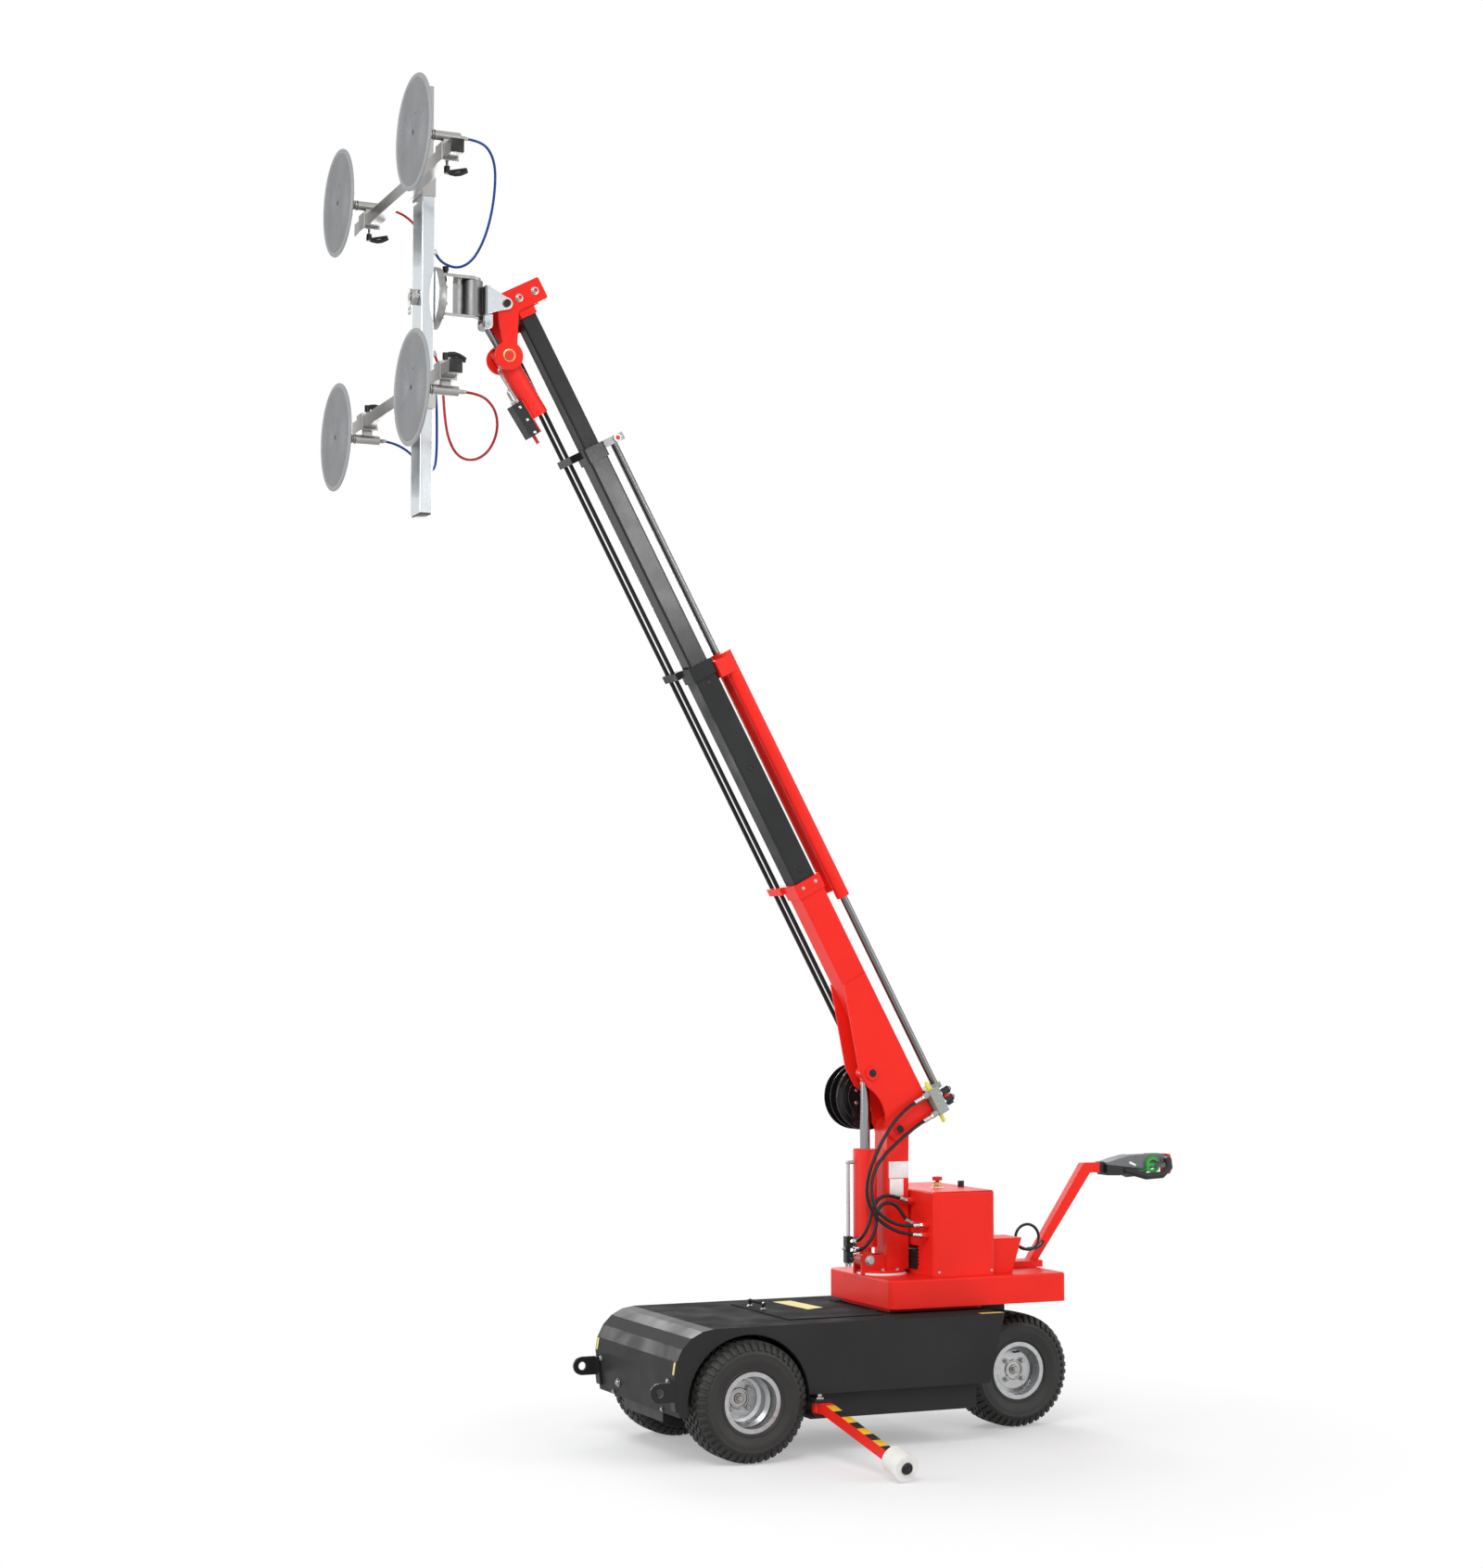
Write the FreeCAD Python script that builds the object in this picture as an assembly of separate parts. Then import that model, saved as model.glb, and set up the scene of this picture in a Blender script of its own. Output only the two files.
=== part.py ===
"""Glass panel lifter: three wheeled carrier, telescopic boom and a vacuum frame with four suction cups.

Built in millimetres in the photographed pose. X points forward, Y to the left side, Z up from the floor.
"""
import FreeCAD, Part
import math
import os

V = FreeCAD.Vector
AXIS_X, AXIS_Y, AXIS_Z = V(1, 0, 0), V(0, 1, 0), V(0, 0, 1)

# Shared fits and stock
fit = 0.05
gap = 0.3
slide_gap = 0.8
overrun = 5.0
sheet = 4.0
plate = 10.0

# Wheels
tyre_d = 457.0
tyre_w = 210.0
tyre_t = 14.0
tread_share = 0.84
rim_d = 229.0
rim_w = 178.0
rim_wall = 5.0
rim_lip = 12.0
rim_disc_t = 8.0
rim_disc_inset = 130.0
rim_seat_w = 56.0
rim_drop = 14.0
rim_dish = 12.0
hub_d = 84.0
hub_len = 60.0
stub_d = 40.0
stud_d = 14.0
stud_circle_d = 102.0
studs = 4
wheelbase = 1335.0
front_track = 706.0
front_axle_x = 662.0

# Chassis
hood_clear = 48.0
hood_w = 820.0
hood_rear_x = -432.0
crease_x = 800.0
nose_r = 165.0
nose_bends = 5
nose_foot_x = 945.0
nose_foot_z = 185.0
panel_z = 240.0
panel_rear_x = -365.0
arch_clear = 20.5
tray_w = 720.0
tray_z = 140.0
tray_top_z = 236.0
tray_rear_x = -330.0
tray_front_x = 385.0
spine_w = 400.0
spine_top_z = 300.0
battery_h = 210.0
battery_gap = 12.0
batteries = 4
hatch_rear_x = 30.0
hatch_len = 410.0
hatch_w = 560.0
hatch_lip = 25.0
hinge_d = 10.0
hinge_pin_d = 5.0
hinge_w = 20.0
hinge_spread = 360.0
hatch_handle_len = 150.0
hatch_handle_y = -100.0
handle_d = 12.0

# Deck, cover and column
deck_front_x = 0.0
deck_tail = 116.0
deck_w = 564.0
deck_h = 112.0
deck_gap = 18.0
deck_corner_r = 30.0
deck_edge_r = 8.0
plinth_w = 420.0
plinth_front_inset = 30.0
cover_front_x = -205.0
cover_len = 275.0
cover_w = 510.0
cover_h = 335.0
cover_corner_r = 22.0
cover_t = 3.0
tray_box_clear = 49.0
tray_box_slope = 44.0
tray_box_w = 140.0
tray_box_h = 138.0
tray_box_y = 130.0
estop_x = -332.0
estop_y = 40.0
estop_d = 40.0
estop_stem_d = 16.0
estop_collar_d = 32.0
estop_collar_h = 22.0
estop_head_h = 16.0
estop_travel = 6.0
key_x = -440.0
key_d = 26.0
key_h = 12.0
port_d = 26.0
port_len = 28.0
port_y_near = 200.0
port_z_high = 838.0
port_z_low = 798.0
port_y_far = 80.0
port_z_top = 925.0
port_y_mid = 130.0
vent_w = 120.0
vent_h = 84.0
vent_slots = 6
vent_z = 668.0
flange_d = 192.0
flange_t = 18.0
flange_x = -100.0
column_rear_x = -195.0
column_front_x = -96.0
column_w = 108.0
column_wall = 8.0
pivot_x = -149.0
column_h = 575.0
pivot_boss_r = 48.0
pivot_d = 40.0
pin_head_d = 56.0
pin_head_t = 8.0

# Lift cylinder
lift_foot_rise = 55.0
lift_pin_along = 254.0
lift_barrel_d = 95.0
lift_bore = 70.0
lift_rod_d = 40.0
lift_barrel_share = 0.592
lift_gland_h = 40.0
lift_eye_d = 70.0
lift_eye_w = 56.0
lift_pin_d = 30.0
lift_bracket_t = 12.0
valve_w = 30.0
valve_h = 104.0
valve_d = 28.0
valve_stand_off = 14.0
valve_drop = 8.0
pipe_d = 14.0

# Boom
boom_angle = 61.53
boom_axis_rise = 116.0
tip_size = 70.0
tube_wall = 6.0
base_wall = 7.0
base_foot = -20.0
base_len = 1085.0
mid_reach = 958.0
mid_overlap = 292.0
inner_reach = 944.0
inner_overlap = 326.0
tip_reach = 553.0
tip_overlap = 347.0
tube_corner_r = 8.0
cheek_t = 8.0
cheek_len = 620.0
lift_boss_r = 42.0
notch_depth = 23.0
collar_len = 60.0
collar_t = 6.0
guide_len = 30.0
clip_inset = 40.0
boom_hose_d = 18.0
ram_rise = 120.0
ram_spread = 76.0
ram_barrel_d = 54.0
ram_bore = 42.0
ram_rod_d = 30.0
ram_near_dip = 138.0
ram_far_dip = 108.0
ram_end_inset = 6.0
ram_gland = 45.0
ram_overlap = 140.0
ram_bracket_len = 90.0
block_len = 110.0
block_along = 20.0
block_overhang = 36.0
block_post_len = 24.0
block_w = 96.0
block_t = 46.0
block_port_d = 24.0
block_port_len = 26.0
reel_along = 144.0
reel_drop = 7.0
reel_d = 268.0
reel_flange_t = 3.0
reel_pitch = 55.0
reel_start_y = -80.0
reel_axle_d = 30.0
reel_hub_d = 60.0

# Head
bracket_t = 10.0
bracket_gap = 11.0
bracket_reach = 76.0
bracket_len = 88.0
bracket_top = 215.0
bracket_low = 10.0
yoke_pivot_rise = 44.5
yoke_pin_d = 24.0
trunnion_back = 182.0
trunnion_drop = 37.0
trunnion_d = 36.0
trunnion_r = 56.0
tilt_barrel_d = 80.0
tilt_bore = 60.0
tilt_barrel_len = 255.0
tilt_gland = 40.0
tilt_rod_d = 28.0
tilt_valve_len = 140.0
tilt_valve_drop = 55.0
tilt_valve_w = 60.0
tilt_valve_t = 52.0
tilt_tip_d = 14.0
tilt_tip_len = 34.0
yoke_t = 10.0
yoke_h = 116.0
link_x = 64.0
link_drop = 79.0
link_r = 20.0
link_w = 44.0
drum_x = 119.0
drum_d = 86.0
drum_h = 140.0
drum_rise = 16.0
head_rise = 4.0
yaw_pin_d = 24.0
yaw_plate_t = 12.0
yaw_reach = 130.0
yaw_w = 90.0
flange_disc_d = 190.0
knob_inset = 24.0
knob_d = 24.0
knob_h = 18.0
knob_pin_d = 10.0
spindle_d = 30.0
spindle_nut_d = 58.0
spindle_nut_t = 26.0
turntable_d = 240.0
turntable_t = 27.0

# Vacuum frame
beam_w = 120.0
beam_t = 50.0
beam_wall = 4.0
beam_drop = 836.0
beam_rise = 379.0
mast_rise = 809.0
mast_low_gap = 62.0
arm_size = 50.0
arm_wall = 4.0
arm_half = 622.0
arm_stand_off = 20.0
upper_arm_rise = 410.0
lower_arm_drop = 396.0
saddle_h = 84.0
saddle_wall = 7.0
cap_t = 12.0
cup_spread = 1005.0
cup_d = 425.5
cup_t = 20.0
cup_hub_d = 120.0
cup_hub_t = 14.0
cup_face_reach = 132.0
carrier_len = 70.0
carrier_wall = 8.0
stem_offset = 66.0
stem_d = 36.0
stem_len = 96.0
neck_d = 26.0
barb_d = 12.0
barb_len = 16.0
lever_hub_d = 22.0
lever_hub_h = 26.0
lever_stud_d = 10.0
lever_stud_h = 12.0
lever_len = 72.0
lever_t = 11.0
lever_rise = 24.0

# Rear wheel and tiller
fork_arm_t = 16.0
fork_arm_w = 110.0
crown_d = 190.0
crown_t = 22.0
kingpin_d = 60.0
kingpin_boss_d = 92.0
motor_d = 108.0
motor_len = 120.0
tiller_tube = 40.0
tiller_foot_reach = 104.0
tiller_foot_h = 26.0
tiller_bend_reach = 365.0
tiller_bend_z = 1028.0
tiller_end_reach = 455.0
tiller_head_len = 300.0
tiller_neck_w = 80.0
tiller_pod_w = 57.0
head_neck = ((0.0, 20.0), (0.17, 34.0), (0.36, 46.0), (0.45, 47.5), (0.45, -20.0), (0.2, -34.0), (0.0, -32.0))
head_pod = ((0.44, 47.0), (0.92, 50.0), (0.98, 36.0), (0.98, -6.0), (0.44, -14.0))
grip_line = ((0.3, 34.0, -14.0), (0.55, 78.0, -38.0), (0.8, 80.0, -34.0), (0.93, 76.0, -4.0), (0.93, 70.0, 26.0))
grip_d = 28.0
throttle_share = 0.74
throttle_rise = 6.0
throttle_d = 14.0
throttle_r = 33.0
throttle_rim = 12.0
belly_stem_d = 20.0
belly_w = 64.0
belly_h = 84.0
belly_len = 22.0
belly_travel = 8.0

# Outriggers
outrigger_x = 386.0
outrigger_stand_off = 78.0
outrigger_z = 196.0
outrigger_pin_d = 24.0
outrigger_tube = 40.0
outrigger_reach_x = -61.0
outrigger_reach_y = 493.0
roller_d = 100.0
roller_len = 90.0
roller_axle_d = 24.0
roller_lift = 3.0
bracket_plate_t = 12.0
bracket_plate_w = 70.0

# Nose hardware
eye_z = 280.0
eye_base_w = 43.0
eye_r = 36.0
eye_bore = 32.0
eye_t = 12.0
eye_stand_off = 62.0
bolt_h = 7.0
nose_bolts = ((0.227, 240.0, 26.0), (0.422, 314.0, 18.0), (0.305, 197.0, 14.0))

# Hoses
hose_d = 14.0
vacuum_hose_d = 10.0
cable_d = 9.0
bend_share = 0.45
feed_bend_shares = (
    [(0.05, 0.072, -0.007, 0.01), (0.12, 0.157, -0.015, 0.017), (0.23, 0.24, -0.028, 0.031),
     (0.36, 0.309, -0.048, 0.034), (0.48, 0.362, -0.065, 0.031), (0.6, 0.394, -0.084, 0.03),
     (0.71, 0.399, -0.1, 0.028), (0.81, 0.37, -0.106, 0.022), (0.91, 0.303, -0.095, 0.025),
     (0.97, 0.212, -0.066, 0.018), (1.0, 0.119, -0.031, 0.011)],
    [(0.08, 0.087, -0.017, 0.018), (0.18, 0.188, -0.028, 0.039), (0.31, 0.296, -0.041, 0.063),
     (0.45, 0.394, -0.057, 0.09), (0.57, 0.46, -0.071, 0.1), (0.7, 0.477, -0.091, 0.102),
     (0.82, 0.458, -0.105, 0.097), (0.92, 0.414, -0.106, 0.078), (1.0, 0.323, -0.089, 0.066),
     (1.03, 0.221, -0.058, 0.041), (1.03, 0.126, -0.025, 0.021)],
)
lift_bend_shares = (
    [(0.02, 0.01, 0.091, -0.003), (0.08, 0.03, 0.159, 0.007), (0.18, 0.054, 0.19, 0.041),
     (0.3, 0.093, 0.177, 0.099), (0.42, 0.14, 0.139, 0.165), (0.53, 0.172, 0.103, 0.226),
     (0.65, 0.186, 0.069, 0.249), (0.76, 0.163, 0.043, 0.223), (0.85, 0.113, 0.024, 0.157),
     (0.93, 0.055, 0.009, 0.072)],
    [(0.04, 0.028, 0.097, -0.012), (0.11, 0.058, 0.169, -0.013), (0.22, 0.083, 0.201, 0.016),
     (0.35, 0.114, 0.177, 0.086), (0.45, 0.139, 0.129, 0.195), (0.52, 0.168, 0.075, 0.305),
     (0.59, 0.194, 0.033, 0.384), (0.68, 0.199, -0.008, 0.424), (0.77, 0.177, -0.034, 0.415),
     (0.85, 0.146, -0.042, 0.357), (0.89, 0.108, -0.032, 0.268), (0.91, 0.075, -0.012, 0.161),
     (0.94, 0.036, 0.008, 0.066)],
)
cable_bend_shares = (
    (0.14, -0.017, 0.044, -0.048), (0.28, -0.035, 0.085, -0.104), (0.39, -0.045, 0.119, -0.137),
    (0.5, -0.06, 0.152, -0.111), (0.58, -0.077, 0.174, -0.03), (0.62, -0.08, 0.18, 0.083),
    (0.6, -0.078, 0.163, 0.198), (0.53, -0.067, 0.126, 0.284), (0.42, -0.057, 0.073, 0.318),
    (0.32, -0.033, 0.024, 0.291), (0.25, -0.007, -0.013, 0.212), (0.22, 0.006, -0.034, 0.099),
    (0.25, 0.013, -0.032, -0.015), (0.33, 0.011, -0.01, -0.101), (0.44, 0.001, 0.024, -0.135),
    (0.55, -0.014, 0.057, -0.108), (0.71, -0.03, 0.084, -0.111), (0.86, -0.026, 0.067, -0.071),
)
vacuum_bend_shares = (
    [(0.01, -0.082, 0.004, 0.005), (0.07, -0.185, -0.001, 0.02), (0.21, -0.264, 0.01, 0.02), (0.4, -0.305, 0.018, 0.0),
     (0.6, -0.312, 0.05, -0.044), (0.78, -0.291, 0.076, -0.088), (0.93, -0.242, 0.091, -0.119),
     (1.02, -0.164, 0.082, -0.113), (1.04, -0.079, 0.052, -0.073), (1.02, -0.025, 0.02, -0.033)],
    [(0.01, -0.071, -0.004, -0.002), (0.11, -0.142, -0.018, -0.005), (0.26, -0.174, -0.03, -0.026),
     (0.43, -0.172, -0.043, -0.057), (0.6, -0.151, -0.061, -0.084), (0.76, -0.12, -0.063, -0.091),
     (0.89, -0.083, -0.043, -0.064), (0.98, -0.038, -0.02, -0.018)],
    [(0.01, -0.085, 0.004, -0.005), (0.06, -0.206, -0.008, -0.05), (0.13, -0.312, -0.063, -0.162),
     (0.21, -0.356, -0.14, -0.316), (0.29, -0.329, -0.22, -0.463), (0.39, -0.251, -0.271, -0.547),
     (0.52, -0.172, -0.277, -0.551), (0.64, -0.123, -0.246, -0.474), (0.76, -0.101, -0.182, -0.36),
     (0.86, -0.088, -0.112, -0.218), (0.95, -0.06, -0.04, -0.09)],
    [(0.01, -0.075, -0.004, -0.012), (0.05, -0.154, 0.033, -0.087), (0.13, -0.192, 0.088, -0.217),
     (0.23, -0.209, 0.148, -0.355), (0.35, -0.202, 0.198, -0.467), (0.49, -0.178, 0.23, -0.534),
     (0.63, -0.143, 0.227, -0.511), (0.76, -0.115, 0.179, -0.414), (0.86, -0.098, 0.115, -0.27),
     (0.94, -0.07, 0.051, -0.11)],
)

# Places worked out from the sizes above
axle_z = tyre_d / 2
hood_z = tyre_d + hood_clear
arch_r = tyre_d / 2 + arch_clear
rear_axle_x = front_axle_x - wheelbase
hood_half = hood_w / 2
outrigger_y = tray_w / 2 + outrigger_stand_off
front_disc_y = rim_w / 2 - rim_disc_inset
rear_disc_y = rim_disc_t - front_disc_y
hinge_x = hatch_rear_x - hinge_d / 2 - gap
hinge_z = hood_z + gap + hinge_d / 2
eye_y = hood_half - eye_t / 2
deck_z = hood_z + deck_gap
deck_top = deck_z + deck_h
deck_rear_x = rear_axle_x - deck_tail
cover_rear_x = cover_front_x - cover_len
cover_top = deck_top + cover_h
tiller_foot_x = rear_axle_x + kingpin_d / 2 + plate
tray_box_len = cover_rear_x - gap - tiller_foot_x + tray_box_slope - tray_box_clear
pivot_z = deck_top + column_h
lift_foot_z = deck_top + lift_foot_rise
inner_size = tip_size + 2 * (slide_gap + tube_wall)
mid_size = inner_size + 2 * (slide_gap + tube_wall)
base_size = mid_size + 2 * (slide_gap + base_wall)
base_end = base_foot + base_len
mid_end = base_end + mid_reach
inner_end = mid_end + inner_reach
tip_end = inner_end + tip_reach
ram_end = mid_end - ram_end_inset
bracket_along = tip_end + bracket_reach
trunnion_along = bracket_along - trunnion_back
cheek_y = base_size / 2
ram_z = boom_axis_rise + ram_rise
block_near_y = cheek_y + cheek_t + block_overhang
block_port_y = block_near_y - block_port_d / 2 - plate / 4
block_ports = (block_along + 0.38 * block_len, block_along - 0.38 * block_len)
guide_z = boom_axis_rise - base_size / 2 - gap
hose_y = (reel_start_y - reel_pitch / 2, reel_start_y - 3 * reel_pitch / 2)
bracket_y = tip_size / 2 + bracket_gap
yoke_y = bracket_y + bracket_t + gap
turn = math.radians(boom_angle)


def boom_point(along, rise, y=0.0):
    """A point given along the boom from its pivot and square to it, in the machine frame."""
    x = pivot_x + along * math.cos(turn) - rise * math.sin(turn)
    z = pivot_z + along * math.sin(turn) + rise * math.cos(turn)
    return V(x, y, z)


lift_pin = boom_point(lift_pin_along, 0.0)
lift_x = lift_pin.x
lift_barrel_top_z = lift_foot_z + lift_barrel_share * (lift_pin.z - lift_foot_z)
yoke_pivot = boom_point(bracket_along, yoke_pivot_rise)
trunnion = boom_point(trunnion_along, -trunnion_drop)
link = V(yoke_pivot.x + link_x, 0, yoke_pivot.z - link_drop)
drum_axis_x = yoke_pivot.x + drum_x
drum_low = yoke_pivot.z + drum_rise - drum_h / 2
drum_top = drum_low + drum_h
head_z = yoke_pivot.z + head_rise
beam_low_z = head_z - beam_drop
beam_top_z = head_z + beam_rise
mast_top_z = head_z + mast_rise
upper_arm_z = head_z + upper_arm_rise
lower_arm_z = head_z - lower_arm_drop
yaw_face_x = drum_axis_x + yaw_reach + yaw_plate_t
beam_back_x = yaw_face_x + gap + turntable_t
beam_x = beam_back_x + beam_t / 2
beam_front_x = beam_back_x + beam_t
arm_x = beam_front_x + arm_stand_off + arm_size / 2
cup_face_x = arm_x + cup_face_reach
carrier_out = arm_size / 2 + gap + carrier_wall


def box(x0, x1, y0, y1, z0, z1):
    return Part.makeBox(x1 - x0, y1 - y0, z1 - z0, V(x0, y0, z0))


def block(x, y, z, lx, ly, lz):
    return box(x - lx / 2, x + lx / 2, y - ly / 2, y + ly / 2, z - lz / 2, z + lz / 2)


def rod(p, q, d):
    return Part.makeCylinder(d / 2, (q - p).Length, p, q - p)


def bored(p, q, d, bore):
    """A round bar from p to q with a bore right through it."""
    run = (q - p).normalize() * overrun
    return rod(p, q, d).cut(rod(p - run, q + run, bore))


def prism(points, y0, y1):
    """A closed outline of (x, z) points pushed from y0 to y1."""
    wire = Part.makePolygon([V(x, y0, z) for x, z in points + points[:1]])
    return Part.Face(wire).extrude(V(0, y1 - y0, 0))


def fuse(shapes):
    joined = shapes[0].fuse(shapes[1:])
    return joined.removeSplitter()


def group(shapes):
    return Part.makeCompound(shapes)


def on_boom(shape):
    """Sets a shape drawn with X along the boom and Z square to it onto the raised boom."""
    turned = FreeCAD.Rotation(AXIS_Y, -boom_angle)
    shape.Placement = FreeCAD.Placement(V(pivot_x, 0, pivot_z), turned).multiply(shape.Placement)
    return shape


def moved(shape, x, y, z):
    shape.translate(V(x, y, z))
    return shape


def rounded_edges(shape, radius, axis):
    """Rounds the edges of a box-like shape that run along one axis."""
    edges = []
    for edge in shape.Edges:
        if abs(edge.tangentAt(edge.FirstParameter).dot(axis)) > 0.99:
            edges.append(edge)
    return shape.makeFillet(radius, edges)


def square_tube(x0, x1, z, size, wall):
    """A square tube along X, centred on Y and on the height z, with rounded corners."""
    outer = rounded_edges(box(x0, x1, -size / 2, size / 2, z - size / 2, z + size / 2), tube_corner_r, AXIS_X)
    half = size / 2 - wall
    return outer.cut(box(x0 - overrun, x1 + overrun, -half, half, z - half, z + half))


def hose(points, diameter):
    """A round hose along straight runs joined by arcs, each as large as its two runs allow."""
    edges = []
    start = points[0]
    length = 0.0
    radii = []
    for before, here, after in zip(points, points[1:], points[2:]):
        a, b = (here - before), (after - here)
        reach = bend_share * min(a.Length, b.Length)
        a.normalize()
        b.normalize()
        half_turn = a.getAngle(b) / 2
        radius = reach / math.tan(half_turn)
        first, last = here - a * reach, here + b * reach
        inward = (b - a).normalize()
        middle = here + inward * (radius / math.cos(half_turn) - radius)
        edges.append(Part.LineSegment(start, first).toShape())
        edges.append(Part.Arc(first, middle, last).toShape())
        length += (first - start).Length + 2 * half_turn * radius
        radii.append(round(radius))
        start = last
    edges.append(Part.LineSegment(start, points[-1]).toShape())
    length += (points[-1] - start).Length
    path = Part.Wire(edges)
    ring = Part.Wire(Part.makeCircle(diameter / 2, points[0], points[1] - points[0]))
    tube = path.makePipeShell([ring], True, False)
    share = tube.Volume / (math.pi * diameter**2 / 4 * length)
    print("hose", round(length), "mm, radii", radii, "volume share", round(share, 3))
    return tube


# Wheels: a tyre carcass and a dished rim, drawn about the Y axis with the outer side at +Y


def tyre():
    bead_r = rim_d / 2 - rim_lip + gap / 3
    lip_r = rim_d / 2 + gap
    crown_r = tyre_d / 2
    wall_y = tyre_w / 2
    tread_y = tyre_w * tread_share / 2
    bead_y = rim_w / 2 - rim_wall - gap
    side_r = (crown_r + lip_r) / 2
    shoulder_r = crown_r - tyre_t

    def skin(inset):
        y, b, t = wall_y - inset, bead_y - inset, tread_y - inset
        r_top, r_crown = shoulder_r - inset, crown_r - inset
        return [
            Part.makeLine(V(bead_r, -b, 0), V(lip_r, -b, 0)),
            Part.Arc(V(lip_r, -b, 0), V(side_r, -y, 0), V(r_top, -t, 0)).toShape(),
            Part.Arc(V(r_top, -t, 0), V(r_crown, 0, 0), V(r_top, t, 0)).toShape(),
            Part.Arc(V(r_top, t, 0), V(side_r, y, 0), V(lip_r, b, 0)).toShape(),
            Part.makeLine(V(lip_r, b, 0), V(bead_r, b, 0)),
        ]

    outer, inner = skin(0.0), skin(tyre_t)
    feet = []
    for side in (-1, 1):
        feet.append(Part.makeLine(V(bead_r, side * bead_y, 0), V(bead_r, side * (bead_y - tyre_t), 0)))
    wire = Part.Wire(Part.__sortEdges__(outer + inner + feet))
    return Part.Face(wire).revolve(V(0, 0, 0), AXIS_Y, 360)


def rim(disc_y):
    """A drop centre rim; disc_y is the outer face of its disc, from the wheel's middle plane."""
    half = rim_w / 2
    seat_r = rim_d / 2 - rim_lip
    well_r = seat_r - rim_drop
    seat_y = half - rim_seat_w
    well_y = seat_y - rim_drop
    bed = [(rim_d / 2, half), (rim_d / 2, half - rim_wall), (seat_r, half - rim_wall), (seat_r, seat_y), (well_r, well_y)]
    back = [(seat_r - rim_wall, half), (seat_r - rim_wall, seat_y), (well_r - rim_wall, well_y)]
    outline = bed + [(r, -y) for r, y in reversed(bed)]
    outline += [(r, -y) for r, y in back] + list(reversed(back))
    dish = math.copysign(rim_dish, -disc_y)
    flat_r = well_r - rim_wall - rim_disc_t
    edge_r = seat_r - rim_wall / 2
    plate_line = [(stub_d / 4, disc_y), (flat_r, disc_y), (edge_r, disc_y + dish), (edge_r, disc_y + dish - rim_disc_t)]
    plate_line += [(flat_r, disc_y - rim_disc_t), (stub_d / 4, disc_y - rim_disc_t)]
    pieces = []
    for line in (outline, plate_line):
        corners = [V(r, y, 0) for r, y in line]
        face = Part.Face(Part.makePolygon(corners + corners[:1]))
        pieces.append(face.revolve(V(0, 0, 0), AXIS_Y, 360))
    pieces.append(rod(V(0, disc_y - hub_len, 0), V(0, disc_y, 0), hub_d))
    bore = rod(V(0, disc_y - hub_len - overrun, 0), V(0, disc_y + overrun, 0), stub_d + 2 * fit)
    wheel = fuse(pieces).cut(bore)
    nuts = []
    for i in range(studs):
        a = math.pi * (2 * i + 1) / studs
        c = V(stud_circle_d / 2 * math.cos(a), disc_y, stud_circle_d / 2 * math.sin(a))
        nuts.append(rod(c - AXIS_Y * rim_disc_t / 2, c + AXIS_Y * rim_disc_t, stud_d * 1.6))
    return fuse([wheel] + nuts)


def at_wheel(shape, x, y, outer_side):
    if outer_side < 0:
        shape.rotate(V(0, 0, 0), AXIS_Z, 180)
    return moved(shape, x, y, axle_z)


# Chassis


def nose_points(inset):
    """The rolled front of the hood as flat bends round a quarter circle."""
    r = nose_r - inset
    z = hood_z - nose_r
    points = []
    for i in range(nose_bends + 1):
        a = math.pi / 2 * (1 - i / nose_bends)
        points.append((crease_x + r * math.cos(a), z + r * math.sin(a)))
    return points


def chassis_shell():
    outline = [(hood_rear_x, hood_z)] + nose_points(0.0)
    outline += [(nose_foot_x, nose_foot_z), (front_axle_x, nose_foot_z), (front_axle_x, panel_z)]
    outline += [(panel_rear_x, panel_z)]
    low = nose_foot_z - overrun
    hollow = [(hood_rear_x + sheet, hood_z - sheet)] + nose_points(sheet)
    hollow += [(nose_foot_x - sheet, low), (panel_rear_x + sheet, low), (panel_rear_x + sheet, panel_z)]
    shell = prism(outline, -hood_half, hood_half)
    shell = shell.cut(prism(hollow, -hood_half + sheet, hood_half - sheet))
    arch = rod(V(front_axle_x, -hood_w, axle_z), V(front_axle_x, hood_w, axle_z), 2 * arch_r)
    half = hatch_w / 2 - hatch_lip
    hatch_hole = box(
        hatch_rear_x + hatch_lip, hatch_rear_x + hatch_len - hatch_lip, -half, half, hood_z - nose_r, hood_z + overrun
    )
    hinges = []
    for c in (-hinge_spread / 2, hinge_spread / 2):
        hinges.append(rod(V(hinge_x, c - 1.5 * hinge_w, hinge_z), V(hinge_x, c + 1.5 * hinge_w, hinge_z), hinge_pin_d))
        for y0, y1 in ((c - 1.5 * hinge_w, c - hinge_w / 2 - gap), (c + hinge_w / 2 + gap, c + 1.5 * hinge_w)):
            hinges.append(rod(V(hinge_x, y0, hinge_z), V(hinge_x, y1, hinge_z), hinge_d))
            hinges.append(box(hinge_x - hinge_d / 2, hinge_x + hinge_d / 2, y0, y1, hood_z - sheet / 2, hinge_z))
    return fuse([shell.cut([arch, hatch_hole])] + hinges)


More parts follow.
